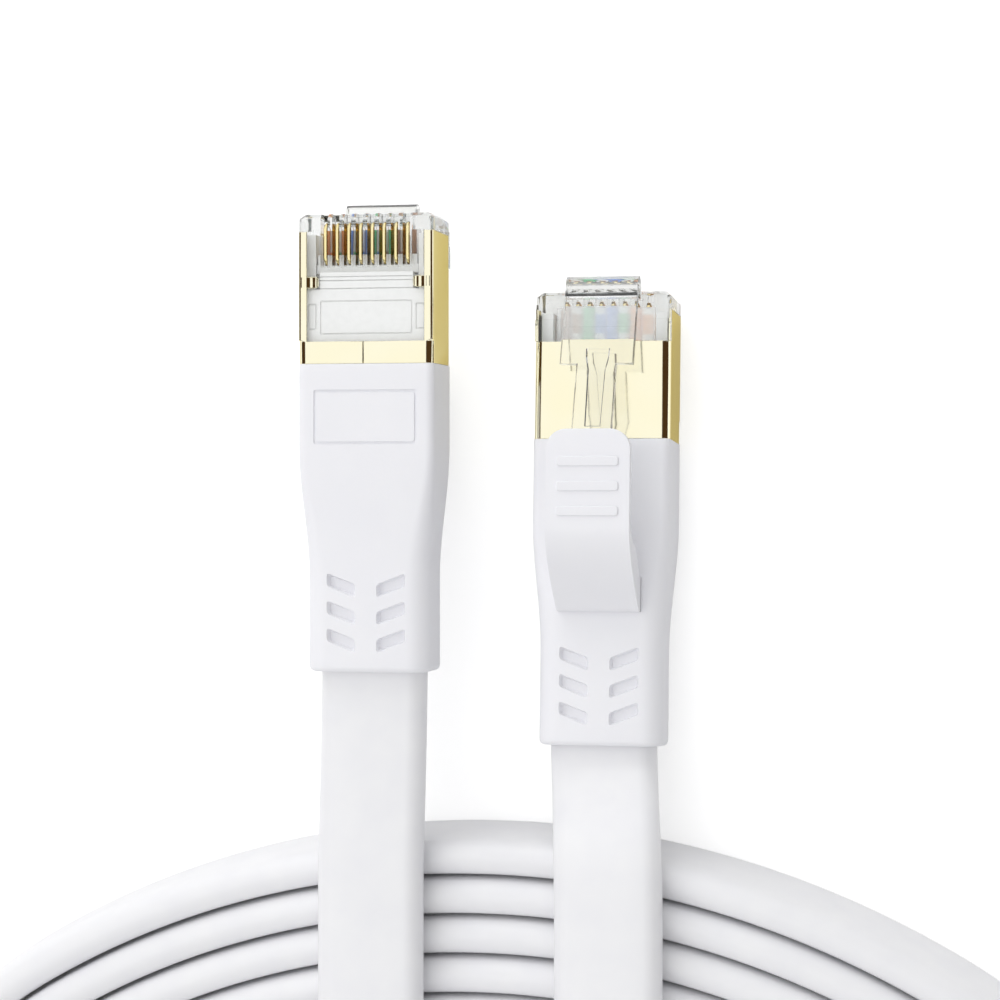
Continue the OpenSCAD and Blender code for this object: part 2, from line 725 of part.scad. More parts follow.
module coil() {
    // The end arcs are a hair slimmer and run this angle into the long ones
    lap = 1.5;
    end_angle = 90 - coil_side_angle + lap;
    color("#F1F1F2") translate([coil_x, coil_y, 0]) difference() {
        union() {
            for (s = [0, 180]) rotate([0, 0, s]) translate([0, -coil_long_c, 0])
                coil_arc(coil_long_r, 90 - coil_side_angle, 2 * coil_side_angle);
            for (s = [0, 180]) rotate([0, 0, s]) translate([coil_end_c, 0, 0])
                coil_arc(coil_end_r, -end_angle, 2 * end_angle, slim = 0.002);
        }
        // Groove under the strap
        translate([-strap_out - 1, -strap_w / 2 - strap_gap, -1])
            cube([strap_out - strap_in + 2, strap_w + 2 * strap_gap, 1 + strap_t + strap_gap]);
    }
}

module coil_strap() {
    color("#F5F5F5") translate([coil_x, coil_y, 0]) difference() {
        translate([-strap_out - strap_t, -strap_w / 2, 0])
            cube([strap_out - strap_in + 2 * strap_t, strap_w, strap_h]);
        translate([-strap_out, -strap_w / 2 - 1, strap_t])
            cube([strap_out - strap_in, strap_w + 2, strap_h - 2 * strap_t]);
    }
}

// ---------------------------------------------------------------- the whole part

module place_a() {
    translate([a_x, a_y, a_z]) rotate([0, 180, 0]) children();
}

module place_b() {
    translate([b_x, b_y, b_z]) rotate([-tilt, 0, 0]) children();
}

place_a() housing();  // a_housing
place_a() latch();  // a_latch
place_a() contacts();  // a_contacts
place_a() shield();  // a_shield
place_a() load_bar();  // a_load_bar
place_a() wire(0);  // a_wire_white_orange
place_a() wire(1);  // a_wire_orange
place_a() wire(2);  // a_wire_white_green
place_a() wire(3);  // a_wire_blue
place_a() wire(4);  // a_wire_white_blue
place_a() wire(5);  // a_wire_green
place_a() wire(6);  // a_wire_white_brown
place_a() wire(7);  // a_wire_brown
place_a() copper_cores();  // a_copper_cores
place_a() pair_foils();  // a_pair_foils
place_a() ferrule();  // a_ferrule
place_a() inner_mould();  // a_inner_mould
place_a() boot();  // a_boot
place_a() press_pad();  // a_press_pad
place_b() housing();  // b_housing
place_b() latch();  // b_latch
place_b() contacts();  // b_contacts
place_b() shield();  // b_shield
place_b() load_bar();  // b_load_bar
place_b() wire(0);  // b_wire_white_orange
place_b() wire(1);  // b_wire_orange
place_b() wire(2);  // b_wire_white_green
place_b() wire(3);  // b_wire_blue
place_b() wire(4);  // b_wire_white_blue
place_b() wire(5);  // b_wire_green
place_b() wire(6);  // b_wire_white_brown
place_b() wire(7);  // b_wire_brown
place_b() copper_cores();  // b_copper_cores
place_b() pair_foils();  // b_pair_foils
place_b() ferrule();  // b_ferrule
place_b() inner_mould();  // b_inner_mould
place_b() boot();  // b_boot
place_b() press_pad();  // b_press_pad
lead_a();
lead_b();
coil();
coil_strap();
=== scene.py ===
"""Looks of a flat shielded patch cable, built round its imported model.

The camera and the cord come first, then the strap and the two plugs piece by piece.
Names that end in _mm hold millimetres, and so do the sizes of the cable, the strap and the
plugs' pieces. Everything else is in metres. Plug pieces are drawn in the plug's own axes:
u across, v towards the tip from the boot's front edge, and w out of the latch side.
"""

from __future__ import annotations

import json
import logging
import math
from dataclasses import dataclass, field
from enum import Enum
from typing import Any, Iterable, Sequence

import bmesh
import bpy
from mathutils import Matrix, Vector

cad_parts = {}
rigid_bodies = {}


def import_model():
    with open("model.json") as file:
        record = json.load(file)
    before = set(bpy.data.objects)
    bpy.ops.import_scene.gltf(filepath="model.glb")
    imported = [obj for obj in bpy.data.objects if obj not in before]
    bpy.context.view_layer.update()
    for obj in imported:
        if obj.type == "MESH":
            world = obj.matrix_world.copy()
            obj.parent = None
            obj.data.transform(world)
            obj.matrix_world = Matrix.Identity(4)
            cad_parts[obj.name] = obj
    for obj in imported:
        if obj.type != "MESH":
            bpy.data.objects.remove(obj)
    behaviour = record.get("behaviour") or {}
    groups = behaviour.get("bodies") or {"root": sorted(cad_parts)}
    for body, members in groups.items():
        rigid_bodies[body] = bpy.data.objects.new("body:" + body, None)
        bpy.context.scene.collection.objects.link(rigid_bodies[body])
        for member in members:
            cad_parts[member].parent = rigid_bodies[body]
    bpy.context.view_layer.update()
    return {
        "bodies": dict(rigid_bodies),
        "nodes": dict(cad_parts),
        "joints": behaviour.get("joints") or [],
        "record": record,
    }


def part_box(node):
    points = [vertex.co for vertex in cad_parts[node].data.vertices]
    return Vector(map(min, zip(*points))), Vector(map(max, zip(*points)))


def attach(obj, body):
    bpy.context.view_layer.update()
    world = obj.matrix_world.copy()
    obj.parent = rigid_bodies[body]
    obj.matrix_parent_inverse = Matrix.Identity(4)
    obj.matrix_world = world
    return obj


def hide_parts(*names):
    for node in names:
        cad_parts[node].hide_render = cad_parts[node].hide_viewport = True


MM = 0.001
# Points closer than this are one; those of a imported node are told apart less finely
WELD = 1e-7
COPY_WELD = 1e-6
SHARP_DEG = 35.0
LOG = logging.getLogger("patch_cable")

Tree = bpy.types.NodeTree
Node = bpy.types.Node
Socket = bpy.types.NodeSocket
Piece = bpy.types.Object
Point = tuple[float, float, float]
Spot = tuple[float, float]

# Distance between the bands of a wave texture at a scale of 1
BAND = math.pi / 10


# ------------------------------------------------------------------ colour and node helpers


def linear(hex_colour: str) -> tuple[float, float, float, float]:
    """Turns an sRGB hex colour into linear light.

    Args:
        hex_colour: six hex digits with a leading #.

    Returns:
        Red, green, blue and an alpha of 1.
    """
    channels = [int(hex_colour[i : i + 2], 16) / 255 for i in (1, 3, 5)]
    light = [c / 12.92 if c <= 0.04045 else ((c + 0.055) / 1.055) ** 2.4 for c in channels]
    return (light[0], light[1], light[2], 1.0)


def per_mm(size_mm: float, cell: float = 1.0) -> float:
    """Works out the scale of a texture from a real size.

    Args:
        size_mm: width that one cell, grain or band is to have.
        cell: its width at a scale of 1.

    Returns:
        The scale.
    """
    return cell / (size_mm * MM)


def empty_tree(owner: bpy.types.Material | bpy.types.World) -> Tree:
    """Switches a material's or a world's nodes on and clears them."""
    owner.use_nodes = True
    owner.node_tree.nodes.clear()
    return owner.node_tree


def add_node(
    tree: Tree, kind: str, settings: dict[str, Any] | None = None, inputs: dict[Any, Any] | None = None
) -> Node:
    """Adds a node with its settings and links.

    Args:
        tree: the node tree that gets the node.
        kind: the node's type.
        settings: the node's own properties by name.
        inputs: for each input's name or number, a value or the output that feeds it.

    Returns:
        The new node.
    """
    node = tree.nodes.new(kind)
    for name, value in (settings or {}).items():
        setattr(node, name, value)
    for key, value in (inputs or {}).items():
        if isinstance(value, Socket):
            tree.links.new(value, node.inputs[key])
        else:
            node.inputs[key].default_value = value
    return node


# ------------------------------------------------------------------ finishes


@dataclass(frozen=True)
class Coat:
    """A material in the making.

    Attributes:
        tree: its node tree.
        shader: its Principled BSDF.
        where: coordinates in metres that stay with the piece.
        base: the finish that it is made for.
    """

    tree: Tree
    shader: Node
    where: Socket
    base: Finish

    def set(self, values: dict[str, Any]) -> None:
        """Sets the shader's values by name."""
        for name, value in values.items():
            self.shader.inputs[name].default_value = value

    def drift(self, other: str, share: Socket) -> None:
        """Lets the colour drift towards another one.

        Args:
            other: sRGB hex colour at a share of 1.
            share: the output that says how far.
        """
        ends = {0: share, 6: linear(self.base.colour), 7: linear(other)}
        mix = add_node(self.tree, "ShaderNodeMix", {"data_type": "RGBA"}, ends)
        self.tree.links.new(mix.outputs[2], self.shader.inputs["Base Color"])

    def gloss(self, spread: float, share: Socket) -> None:
        """Spreads the roughness about its middle value.

        Args:
            spread: how far it goes each way.
            share: the output from 0 to 1 that drives it.
        """
        ends = {0: share, 3: max(self.base.rough - spread, 0.0), 4: self.base.rough + spread}
        ranged = add_node(self.tree, "ShaderNodeMapRange", inputs=ends)
        self.tree.links.new(ranged.outputs[0], self.shader.inputs["Roughness"])

    def relief(self, height: Socket, depth_mm: float, strength: float, edge_mm: float = 0.0) -> None:
        """Bumps the surface, with softened edges where the solid has sharp ones.

        Args:
            height: the output that holds the relief from 0 to 1.
            depth_mm: height of the relief.
            strength: how much of it shows.
            edge_mm: radius of the softened edges, or 0 for none.
        """
        form = {"Strength": strength, "Distance": depth_mm * MM, "Height": height}
        bump = add_node(self.tree, "ShaderNodeBump", inputs=form)
        if edge_mm:
            edges = add_node(self.tree, "ShaderNodeBevel", {"samples": 6}, {"Radius": edge_mm * MM})
            self.tree.links.new(edges.outputs[0], bump.inputs["Normal"])
        self.tree.links.new(bump.outputs[0], self.shader.inputs["Normal"])


@dataclass(frozen=True)
class Finish:
    """A material of one piece, made once under its name.

    Attributes:
        name: the material's name: what it is and how its surface was made.
        colour: sRGB hex colour.
        rough: roughness of the shader.
        slot: the record's material slot, for pieces that this script builds; not used.
    """

    name: str
    colour: str
    rough: float
    slot: str = ""

    def material(self) -> bpy.types.Material:
        """Returns the material, building it the first time.

        Returns:
            The finished material.
        """
        known = bpy.data.materials.get(self.name)
        if known:
            return known
        made = bpy.data.materials.new(self.name)
        tree = empty_tree(made)
        base = {"Base Color": linear(self.colour), "Roughness": self.rough}
        shader = add_node(tree, "ShaderNodeBsdfPrincipled", inputs=base)
        add_node(tree, "ShaderNodeOutputMaterial", inputs={"Surface": shader.outputs[0]})
        where = add_node(tree, "ShaderNodeTexCoord").outputs["Object"]
        self.dress(Coat(tree, shader, where, self))
        return made

    def dress(self, coat: Coat) -> None:
        """Adds the finish's own nodes to a plain coat."""
        raise NotImplementedError


@dataclass(frozen=True)
class MouldedElastomer(Finish):
    """Soft PVC moulded against a spark-eroded tool: matt, with a fine even grain.

    Attributes:
        cloud: sRGB hex colour that the pigment drifts to.
        cloud_mm: width of the pigment's clouds.
        grain_mm: width of one grain of the tool's texture.
        grain_high_mm: height of the grain.
        glow_mm: how far light spreads under the surface.
    """

    cloud: str = "#EDEDF2"
    cloud_mm: float = 6.0
    grain_mm: float = 0.22
    grain_high_mm: float = 0.012
    glow_mm: float = 0.5

    def dress(self, coat: Coat) -> None:
        """Adds a fine grain and a faint cloudiness of the pigment."""
        # The grain breaks the gloss up, so the eye sees a soft matt white with tiny specks
        grain = add_node(
            coat.tree,
            "ShaderNodeTexNoise",
            inputs={"Vector": coat.where, "Scale": per_mm(self.grain_mm), "Detail": 3.0, "Roughness": 0.6},
        )
        coat.gloss(0.08, grain.outputs[0])
        coat.relief(grain.outputs[0], self.grain_high_mm, 0.7)
        # The pigment is a little uneven over a few millimetres
        clouds = {"Vector": coat.where, "Scale": per_mm(self.cloud_mm), "Detail": 2.0}
        coat.drift(self.cloud, add_node(coat.tree, "ShaderNodeTexNoise", inputs=clouds).outputs[0])
        coat.set({"Subsurface Weight": 0.12, "Subsurface Radius": (1.0, 0.95, 0.9)})
        coat.set({"Subsurface Scale": self.glow_mm * MM, "IOR": 1.5})


@dataclass(frozen=True)
class ExtrudedJacket(Finish):
    """PVC jacket drawn through a die: satin, with faint lines along its length.

    Attributes:
        shade: sRGB hex colour in the hollows of its waves.
        line_mm: distance between the die's lines.
        line_high_mm: height of the lines.
        wave_mm: width of the waves.
    """

    shade: str = "#ECECF0"
    line_mm: float = 0.35
    line_high_mm: float = 0.006
    wave_mm: float = 3.0

    def dress(self, coat: Coat) -> None:
        """Adds die lines that follow the cable and a faint waviness of the surface."""
        along = add_node(coat.tree, "ShaderNodeUVMap", {"uv_map": "cable"}).outputs[0]
        # u runs along the cable and v round it, both in metres, so the lines are long and thin
        drawn = add_node(coat.tree, "ShaderNodeMapping", inputs={"Vector": along, "Scale": (0.02, 1.0, 1.0)})
        lines = {"Vector": drawn.outputs[0], "Scale": per_mm(self.line_mm), "Detail": 2.0}
        height = add_node(coat.tree, "ShaderNodeTexNoise", inputs=lines).outputs[0]
        coat.relief(height, self.line_high_mm, 0.5)
        # The eye sees a calm satin white whose highlights run along the cable
        waves = {"Vector": coat.where, "Scale": per_mm(self.wave_mm), "Detail": 2.0}
        share = add_node(coat.tree, "ShaderNodeTexNoise", inputs=waves).outputs[0]
        coat.drift(self.shade, share)
        coat.gloss(0.05, share)
        coat.set({"IOR": 1.53})


@dataclass(frozen=True)
class ClearPolycarbonate(Finish):
    """Injection-moulded clear polycarbonate: bright edges and faint flow lines.

    Attributes:
        depth: colour that light keeps on its way through a thick piece.
        density: how fast it turns to that colour, per metre.
        clarity: share of the light that goes through and not into a milky haze.
        flow_mm: width of the waves that shrinkage leaves in the surface.
        flow_high_mm: height of those waves.
    """

    depth: str = "#F3F4F4"
    density: float = 200.0
    clarity: float = 0.99
    flow_mm: float = 1.6
    flow_high_mm: float = 0.03

    def dress(self, coat: Coat) -> None:
        """Makes a glass-clear body whose surface waves a little, as a thick moulding's does."""
        tree, output = coat.tree, coat.tree.nodes["Material Output"]
        # Shrinkage waves bend what is seen through the walls
        flow = add_node(
            tree,
            "ShaderNodeTexNoise",
            inputs={"Vector": coat.where, "Scale": per_mm(self.flow_mm), "Detail": 2.0, "Distortion": 0.6},
        )
        coat.gloss(0.03, flow.outputs[0])
        coat.relief(flow.outputs[0], self.flow_high_mm, 0.3)
        coat.set({"Transmission Weight": self.clarity, "IOR": 1.585})
        # Lamps and soft light shine through, so that what is inside isn't in the dark
        rays = add_node(tree, "ShaderNodeLightPath").outputs
        either = {0: rays["Is Shadow Ray"], 1: rays["Is Diffuse Ray"]}
        passing = add_node(tree, "ShaderNodeMath", {"operation": "MAXIMUM"}, either)
        through = add_node(tree, "ShaderNodeBsdfTransparent", inputs={"Color": linear("#FDFEFE")})
        shaders = {0: passing.outputs[0], 1: coat.shader.outputs[0], 2: through.outputs[0]}
        lit = add_node(tree, "ShaderNodeMixShader", inputs=shaders)
        tree.links.new(lit.outputs[0], output.inputs["Surface"])
        # The depth of the plastic takes a little light, so a thick block looks pale grey on white
        toned = {"Color": linear(self.depth), "Density": self.density}
        depth = add_node(tree, "ShaderNodeVolumeAbsorption", inputs=toned)
        tree.links.new(depth.outputs[0], output.inputs["Volume"])


@dataclass(frozen=True)
class GoldPlatedSheet(Finish):
    """Brass sheet, rolled, folded and flash-plated with gold: a pale mirror with soft streaks.

    Attributes:
        rim: colour that the plating takes at a grazing look.
        patch: paler tint where the plating is thin.
        patch_mm: width of those patches.
        streak_mm: width of the rolling streaks.
        streak_high_mm: height of the streaks.
        edge_mm: radius of the sheet's cut edges.
    """

    rim: str = "#CCBC82"
    patch: str = "#FFFBE2"
    patch_mm: float = 4.0
    streak_mm: float = 0.3
    streak_high_mm: float = 0.004
    edge_mm: float = 0.04

    def dress(self, coat: Coat) -> None:
        """Adds rolling streaks along the plug and a faint unevenness of the plating."""
        drawn_out = {"Vector": coat.where, "Scale": (1.0, 0.06, 1.0)}
        rolled = add_node(coat.tree, "ShaderNodeMapping", inputs=drawn_out).outputs[0]
        streaks = {"Vector": rolled, "Scale": per_mm(self.streak_mm), "Detail": 3.0}
        height = add_node(coat.tree, "ShaderNodeTexNoise", inputs=streaks).outputs[0]
        coat.gloss(0.03, height)
        coat.relief(height, self.streak_high_mm, 0.25, self.edge_mm)
        # Thin plating lets the paler brass tint come through in patches
        patches = {"Vector": coat.where, "Scale": per_mm(self.patch_mm), "Detail": 1.0}
        coat.drift(self.patch, add_node(coat.tree, "ShaderNodeTexNoise", inputs=patches).outputs[0])
        coat.set({"Metallic": 1.0, "Specular Tint": linear(self.rim)})


@dataclass(frozen=True)
class DrawnMetal(Finish):
    """Small stamped or drawn metal piece: ferrule or conductor.

    Attributes:
        tone: second colour that the surface drifts to.
        grain_mm: width of the metal's grain.
        grain_high_mm: height of the grain.
        edge_mm: radius of the sheared edges.
    """

    tone: str = "#FFFFFF"
    grain_mm: float = 0.15
    grain_high_mm: float = 0.004
    edge_mm: float = 0.05

    def dress(self, coat: Coat) -> None:
        """Adds a fine drawn grain and a slight drift of the tone."""
        drawn_out = {"Vector": coat.where, "Scale": (1.0, 0.15, 1.0)}
        drawn = add_node(coat.tree, "ShaderNodeMapping", inputs=drawn_out).outputs[0]
        grain = {"Vector": drawn, "Scale": per_mm(self.grain_mm), "Detail": 2.0}
        height = add_node(coat.tree, "ShaderNodeTexNoise", inputs=grain).outputs[0]
        # The eye sees a brushed sheen along the piece, and rubbed edges as a soft line
        coat.drift(self.tone, height)
        coat.gloss(0.06, height)
        coat.relief(height, self.grain_high_mm, 0.4, self.edge_mm)
        coat.set({"Metallic": 1.0})


@dataclass(frozen=True)
class PairFoil(Finish):
    """Aluminium foil wrapped in a spiral round each wire pair: bright, with sharp creases.

    Attributes:
        crease_mm: distance between the creases.
        crease_high_mm: height of a crease.
    """

    crease_mm: float = 0.7
    crease_high_mm: float = 0.05

    def dress(self, coat: Coat) -> None:
        """Adds the creases of the wrapping, as facets of different slope."""
        # The creases split the foil into small mirrors
        facets = {"Vector": coat.where, "Scale": per_mm(self.crease_mm)}
        creases = add_node(coat.tree, "ShaderNodeTexVoronoi", {"feature": "DISTANCE_TO_EDGE"}, facets)
        coat.gloss(0.08, creases.outputs[0])
        coat.relief(creases.outputs[0], self.crease_high_mm, 0.8)
        coat.set({"Metallic": 1.0})


@dataclass(frozen=True)
class WireInsulation(Finish):
    """Polyethylene insulation, glossy, either one colour or pale with rings of its pair's.

    Attributes:
        stripe: colour of the rings; the same as colour for a plain wire.
        stripe_mm: distance from one ring to the next along the wire.
        ink_high_mm: height of the ink.
    """

    stripe: str = "#FFFFFF"
    stripe_mm: float = 5.132
    ink_high_mm: float = 0.004

    def dress(self, coat: Coat) -> None:
        """Prints rings round the wire."""
        bands = {"Vector": coat.where, "Scale": per_mm(self.stripe_mm, BAND), "Distortion": 0.4}
        rings = add_node(coat.tree, "ShaderNodeTexWave", {"bands_direction": "Y"}, bands).outputs[1]
        # The printed rings leave most of a striped wire white
        ink = add_node(coat.tree, "ShaderNodeMapRange", inputs={0: rings, 1: 0.7, 2: 0.8})
        coat.drift(self.stripe, ink.outputs[0])
        coat.relief(rings, self.ink_high_mm, 0.2)
        coat.set({"IOR": 1.51})


@dataclass(frozen=True)
class MouldedInsert(Finish):
    """Glass-filled white plastic insert: satin, with flow marks and soft edges.

    Attributes:
        marble: sRGB hex colour of the filler's marbling.
        flow_mm: width of the flow marks.
        flow_high_mm: height of the flow marks.
        edge_mm: radius of the moulded edges.
    """

    marble: str = "#F4F4F3"
    flow_mm: float = 0.5
    flow_high_mm: float = 0.01
    edge_mm: float = 0.06

    def dress(self, coat: Coat) -> None:
        """Adds flow marks a fraction of a millimetre wide."""
        marks = {"Vector": coat.where, "Scale": per_mm(self.flow_mm), "Detail": 3.0}
        flow = add_node(coat.tree, "ShaderNodeTexNoise", inputs=marks).outputs[0]
        # The filler shows as a faint grey marbling
        coat.drift(self.marble, flow)
        coat.relief(flow, self.flow_high_mm, 0.4, self.edge_mm)
        coat.set({"IOR": 1.54})


@dataclass(frozen=True)
class LoopTape(Finish):
    """Woven nylon tape with a brushed loop side: dull, with threads that show.

    Attributes:
        shade: sRGB hex colour between the loops.
        thread_mm: spacing of the threads.
        loop_mm: width of one loop.
        pile_mm: height of the loops.
    """

    shade: str = "#D2D2D4"
    thread_mm: float = 0.7895
    loop_mm: float = 0.3
    pile_mm: float = 0.12

    def dress(self, coat: Coat) -> None:
        """Crosses threads under a fuzz of loops."""
        threads = add_node(
            coat.tree,
            "ShaderNodeTexWave",
            {"bands_direction": "Y"},
            {"Vector": coat.where, "Scale": per_mm(self.thread_mm, BAND), "Distortion": 1.5, "Detail": 2.0},
        )
        pile = {"Vector": coat.where, "Scale": per_mm(self.loop_mm)}
        loops = add_node(coat.tree, "ShaderNodeTexVoronoi", inputs=pile)
        both = {0: threads.outputs[1], 1: loops.outputs[0]}
        fuzz = add_node(coat.tree, "ShaderNodeMath", {"operation": "MULTIPLY"}, both).outputs[0]
        # Each loop casts its own small shade, which greys the white yarn
        coat.drift(self.shade, fuzz)
        coat.relief(fuzz, self.pile_mm, 0.9)
        coat.set({"Sheen Weight": 0.4, "Sheen Roughness": 0.5})


BOOT = MouldedElastomer("boot soft PVC moulded", "#F3F3F6", 0.52, "boot_plastic")
JACKET = ExtrudedJacket("jacket PVC extruded", "#F4F4F5", 0.34, "jacket")
CLEAR = ClearPolycarbonate("plug polycarbonate moulded", "#FEFEFE", 0.04, "clear_plastic")
FROST = ClearPolycarbonate(
    "guide polycarbonate frosted", "#FFFFFF", 0.05, "clear_plastic", density=20.0, clarity=0.6
)
SHELL = GoldPlatedSheet("shell brass gold-plated", "#FFF8D6", 0.08, "shell_gold")
BLADE = GoldPlatedSheet(
    "contact bronze gold-plated", "#FFEBA6", 0.12, "contact_gold", "#B07A18", "#FFF6CC", streak_mm=0.1
)
FERRULE = DrawnMetal("ferrule brass crimped", "#D9C27A", 0.3, tone="#C6AC62", grain_mm=0.3)
COPPER = DrawnMetal("conductor copper drawn", "#D98B5F", 0.3, tone="#B86B42", grain_mm=0.1)
FOIL = PairFoil("pair foil aluminium wrapped", "#D6D8DB", 0.2)
INSERT = MouldedInsert("load bar PBT moulded", "#FFFFFE", 0.4, "bar_plastic")
COMB = MouldedInsert("comb PBT moulded", "#F6F7F8", 0.4, "bar_plastic")
FILLER = MouldedInsert("filler PE moulded", "#ECECEF", 0.5)
TAPE = LoopTape("strap nylon woven", "#F6F6F7", 0.9, "strap")


class WireColour(Enum):
    """The eight wires in their order across the plug: base colour and rings."""

    WHITE_ORANGE = ("#FDF7EF", "#F5A254")
    ORANGE = ("#F79F4C", "#F79F4C")
    WHITE_GREEN = ("#F5FCF7", "#5CCB84")
    BLUE = ("#6F9BF0", "#6F9BF0")
    WHITE_BLUE = ("#F5F8FE", "#6E9FEE")
    GREEN = ("#5CD08C", "#5CD08C")
    WHITE_BROWN = ("#FAF6F1", "#B98A64")
    BROWN = ("#B98A68", "#B98A68")

    @property
    def node(self) -> str:
        """The end of the name of this wire's node."""
        return "wire_" + self.name.lower()

    def finish(self) -> WireInsulation:
        """Returns this wire's insulation."""
        base, stripe = self.value
        return WireInsulation(f"{self.node} polyethylene extruded", base, 0.35, stripe=stripe)


# ------------------------------------------------------------------ mesh helpers

CORNERS = ((1, 1), (-1, 1), (-1, -1), (1, -1))


class Join(Enum):
    """What happens to a piece where another shape meets it."""

    CUT = "DIFFERENCE"
    ADD = "UNION"


def shade(mesh: bpy.types.Mesh, sharp_deg: float) -> None:
    """Shades a mesh smooth, except at edges that turn by more than sharp_deg."""
    mesh.polygons.foreach_set("use_smooth", [True] * len(mesh.polygons))
    mesh.set_sharp_from_angle(angle=math.radians(sharp_deg))


def piece_from_bmesh(name: str, bm: bmesh.types.BMesh, sharp_deg: float = SHARP_DEG) -> Piece:
    """Turns a bmesh into a smooth-shaded object.

    Args:
        name: name of the piece.
        bm: its geometry, which is freed.
        sharp_deg: edges that turn by more than this stay sharp.

    Returns:
        The new object.
    """
    bmesh.ops.recalc_face_normals(bm, faces=bm.faces)
    mesh = bpy.data.meshes.new(name)
    bm.to_mesh(mesh)
    bm.free()
    shade(mesh, sharp_deg)
    made = bpy.data.objects.new(name, mesh)
    bpy.context.scene.collection.objects.link(made)
    return made


def apply_modifiers(piece: Piece) -> None:
    """Bakes a piece's modifiers into its mesh."""
    graph = bpy.context.evaluated_depsgraph_get()
    mesh = bpy.data.meshes.new_from_object(piece.evaluated_get(graph))
    piece.modifiers.clear()
    piece.data = mesh


def round_edges(
    piece: Piece, width_mm: float, sharp_deg: float = 32.0, segments: int = 2, flat: bool = True
) -> None:
    """Rounds every sharp edge of a piece.

    Args:
        piece: the piece.
        width_mm: width of the rounding.
        sharp_deg: edges that turn by more than this are rounded.
        segments: faces across the rounding.
        flat: whether wide faces mirror flatly right up to the rounding.
    """
    shade(piece.data, sharp_deg)
    bevel = piece.modifiers.new("edges", "BEVEL")
    bevel.width = width_mm * MM
    bevel.segments = segments
    bevel.limit_method = "ANGLE"
    bevel.angle_limit = math.radians(sharp_deg)
    bevel.harden_normals = not flat
    apply_modifiers(piece)
    if flat:
        shade(piece.data, sharp_deg)
        piece.modifiers.new("flat faces", "WEIGHTED_NORMAL").keep_sharp = True
        apply_modifiers(piece)


def carve(piece: Piece, shapes: Iterable[Piece], join: Join = Join.CUT) -> None:
    """Takes other shapes out of a piece, or adds them to it, and deletes them.

    Args:
        piece: the piece that is cut or added to.
        shapes: closed objects.
        join: whether they are cut away or added.
    """
    shapes = list(shapes)
    for shape in shapes:
        cut = piece.modifiers.new("cut", "BOOLEAN")
        cut.operation = join.value
        cut.solver = "EXACT"
        cut.object = shape
    apply_modifiers(piece)
    for shape in shapes:
        bpy.data.objects.remove(shape)


def ease(t: float) -> float:
    """A share that starts and stops gently, held between 0 and 1."""
    t = min(max(t, 0.0), 1.0)
    return t * t * (3 - 2 * t)


def arc(middle: Spot, radius: float, degrees: Iterable[float]) -> list[Spot]:
    """Points at the given directions on a circle."""
    turns = [math.radians(a) for a in degrees]
    return [(middle[0] + radius * math.cos(a), middle[1] + radius * math.sin(a)) for a in turns]


def round_ring(
    v: float, wide: float, deep: float, radius: float, steps: int = 8, square: float = 1.0
) -> list[Point]:
    """Points round a rounded rectangle across the plug.

    Args:
        v: place along the plug.
        wide: size along u.
        deep: size along w.
        radius: corner radius.
        steps: faces in each corner.
        square: power that squares the two corners on the contact side; 1 leaves them round.

    Returns:
        The points, the same number for any size.
    """
    points = []
    for corner, (su, sw) in enumerate(CORNERS):
        for step in range(steps + 1):
            a = math.radians(90 * corner + 90 * step / steps)
            out_u, out_w = math.cos(a), math.sin(a)
            if square != 1 and sw < 0:
                out_u, out_w = su * abs(out_u) ** square, sw * abs(out_w) ** square
            u, w = su * (wide / 2 - radius) + radius * out_u, sw * (deep / 2 - radius) + radius * out_w
            points.append((u, v, w))
    return points


def loft(bm: bmesh.types.BMesh, rings: Sequence[Sequence[Point]], capped: bool = True) -> None:
    """Skins rings that hold the same number of points.

    Args:
        bm: the bmesh that gets the skin.
        rings: the rings in order.
        capped: whether the two ends are closed.
    """
    rows = [[bm.verts.new(Vector(p) * MM) for p in ring] for ring in rings]
    count = len(rows[0])
    for here, there in zip(rows, rows[1:]):
        for i in range(count):
            j = (i + 1) % count
            bm.faces.new((here[i], here[j], there[j], there[i]))
    if capped:
        bm.faces.new(rows[0])
        bm.faces.new(rows[-1])


def skin(
    name: str, rings: Sequence[Sequence[Point]], loop: bool = False, sharp_deg: float = SHARP_DEG
) -> Piece:
    """Makes an object by skinning rings.

    Args:
        name: name of the object.
        rings: rings with the same number of points, in order.
        loop: whether the last ring joins the first, instead of both being closed off.
        sharp_deg: edges that turn by more than this stay sharp.

    Returns:
        The new object.
    """
    bm = bmesh.new()
    if loop:
        loft(bm, [*rings, rings[0]], capped=False)
        bmesh.ops.remove_doubles(bm, verts=bm.verts, dist=WELD)
    else:
        loft(bm, rings)
    return piece_from_bmesh(name, bm, sharp_deg)


def prism(outline: Sequence[Spot], low: float, high: float, name: str) -> Piece:
    """A closed prism along w over an outline in u and v.

    Args:
        outline: the corners as (u, v).
        low: w of its underside.
        high: w of its top.
        name: name of the object.

    Returns:
        The new object.
    """
    return skin(name, [[(u, v, w) for u, v in outline] for w in (low, high)])


def block(low: Point, high: Point, name: str) -> Piece:
    """A plain cuboid between two corners in u, v and w."""
    outline = [(low[0], low[1]), (high[0], low[1]), (high[0], high[1]), (low[0], high[1])]
    return prism(outline, low[2], high[2], name)


def rod(outline: Sequence[Spot], half: float, name: str) -> Piece:
    """A closed bar along u over an outline in v and w, reaching half to each side."""
    return skin(name, [[(u, v, w) for v, w in outline] for u in (-half, half)])


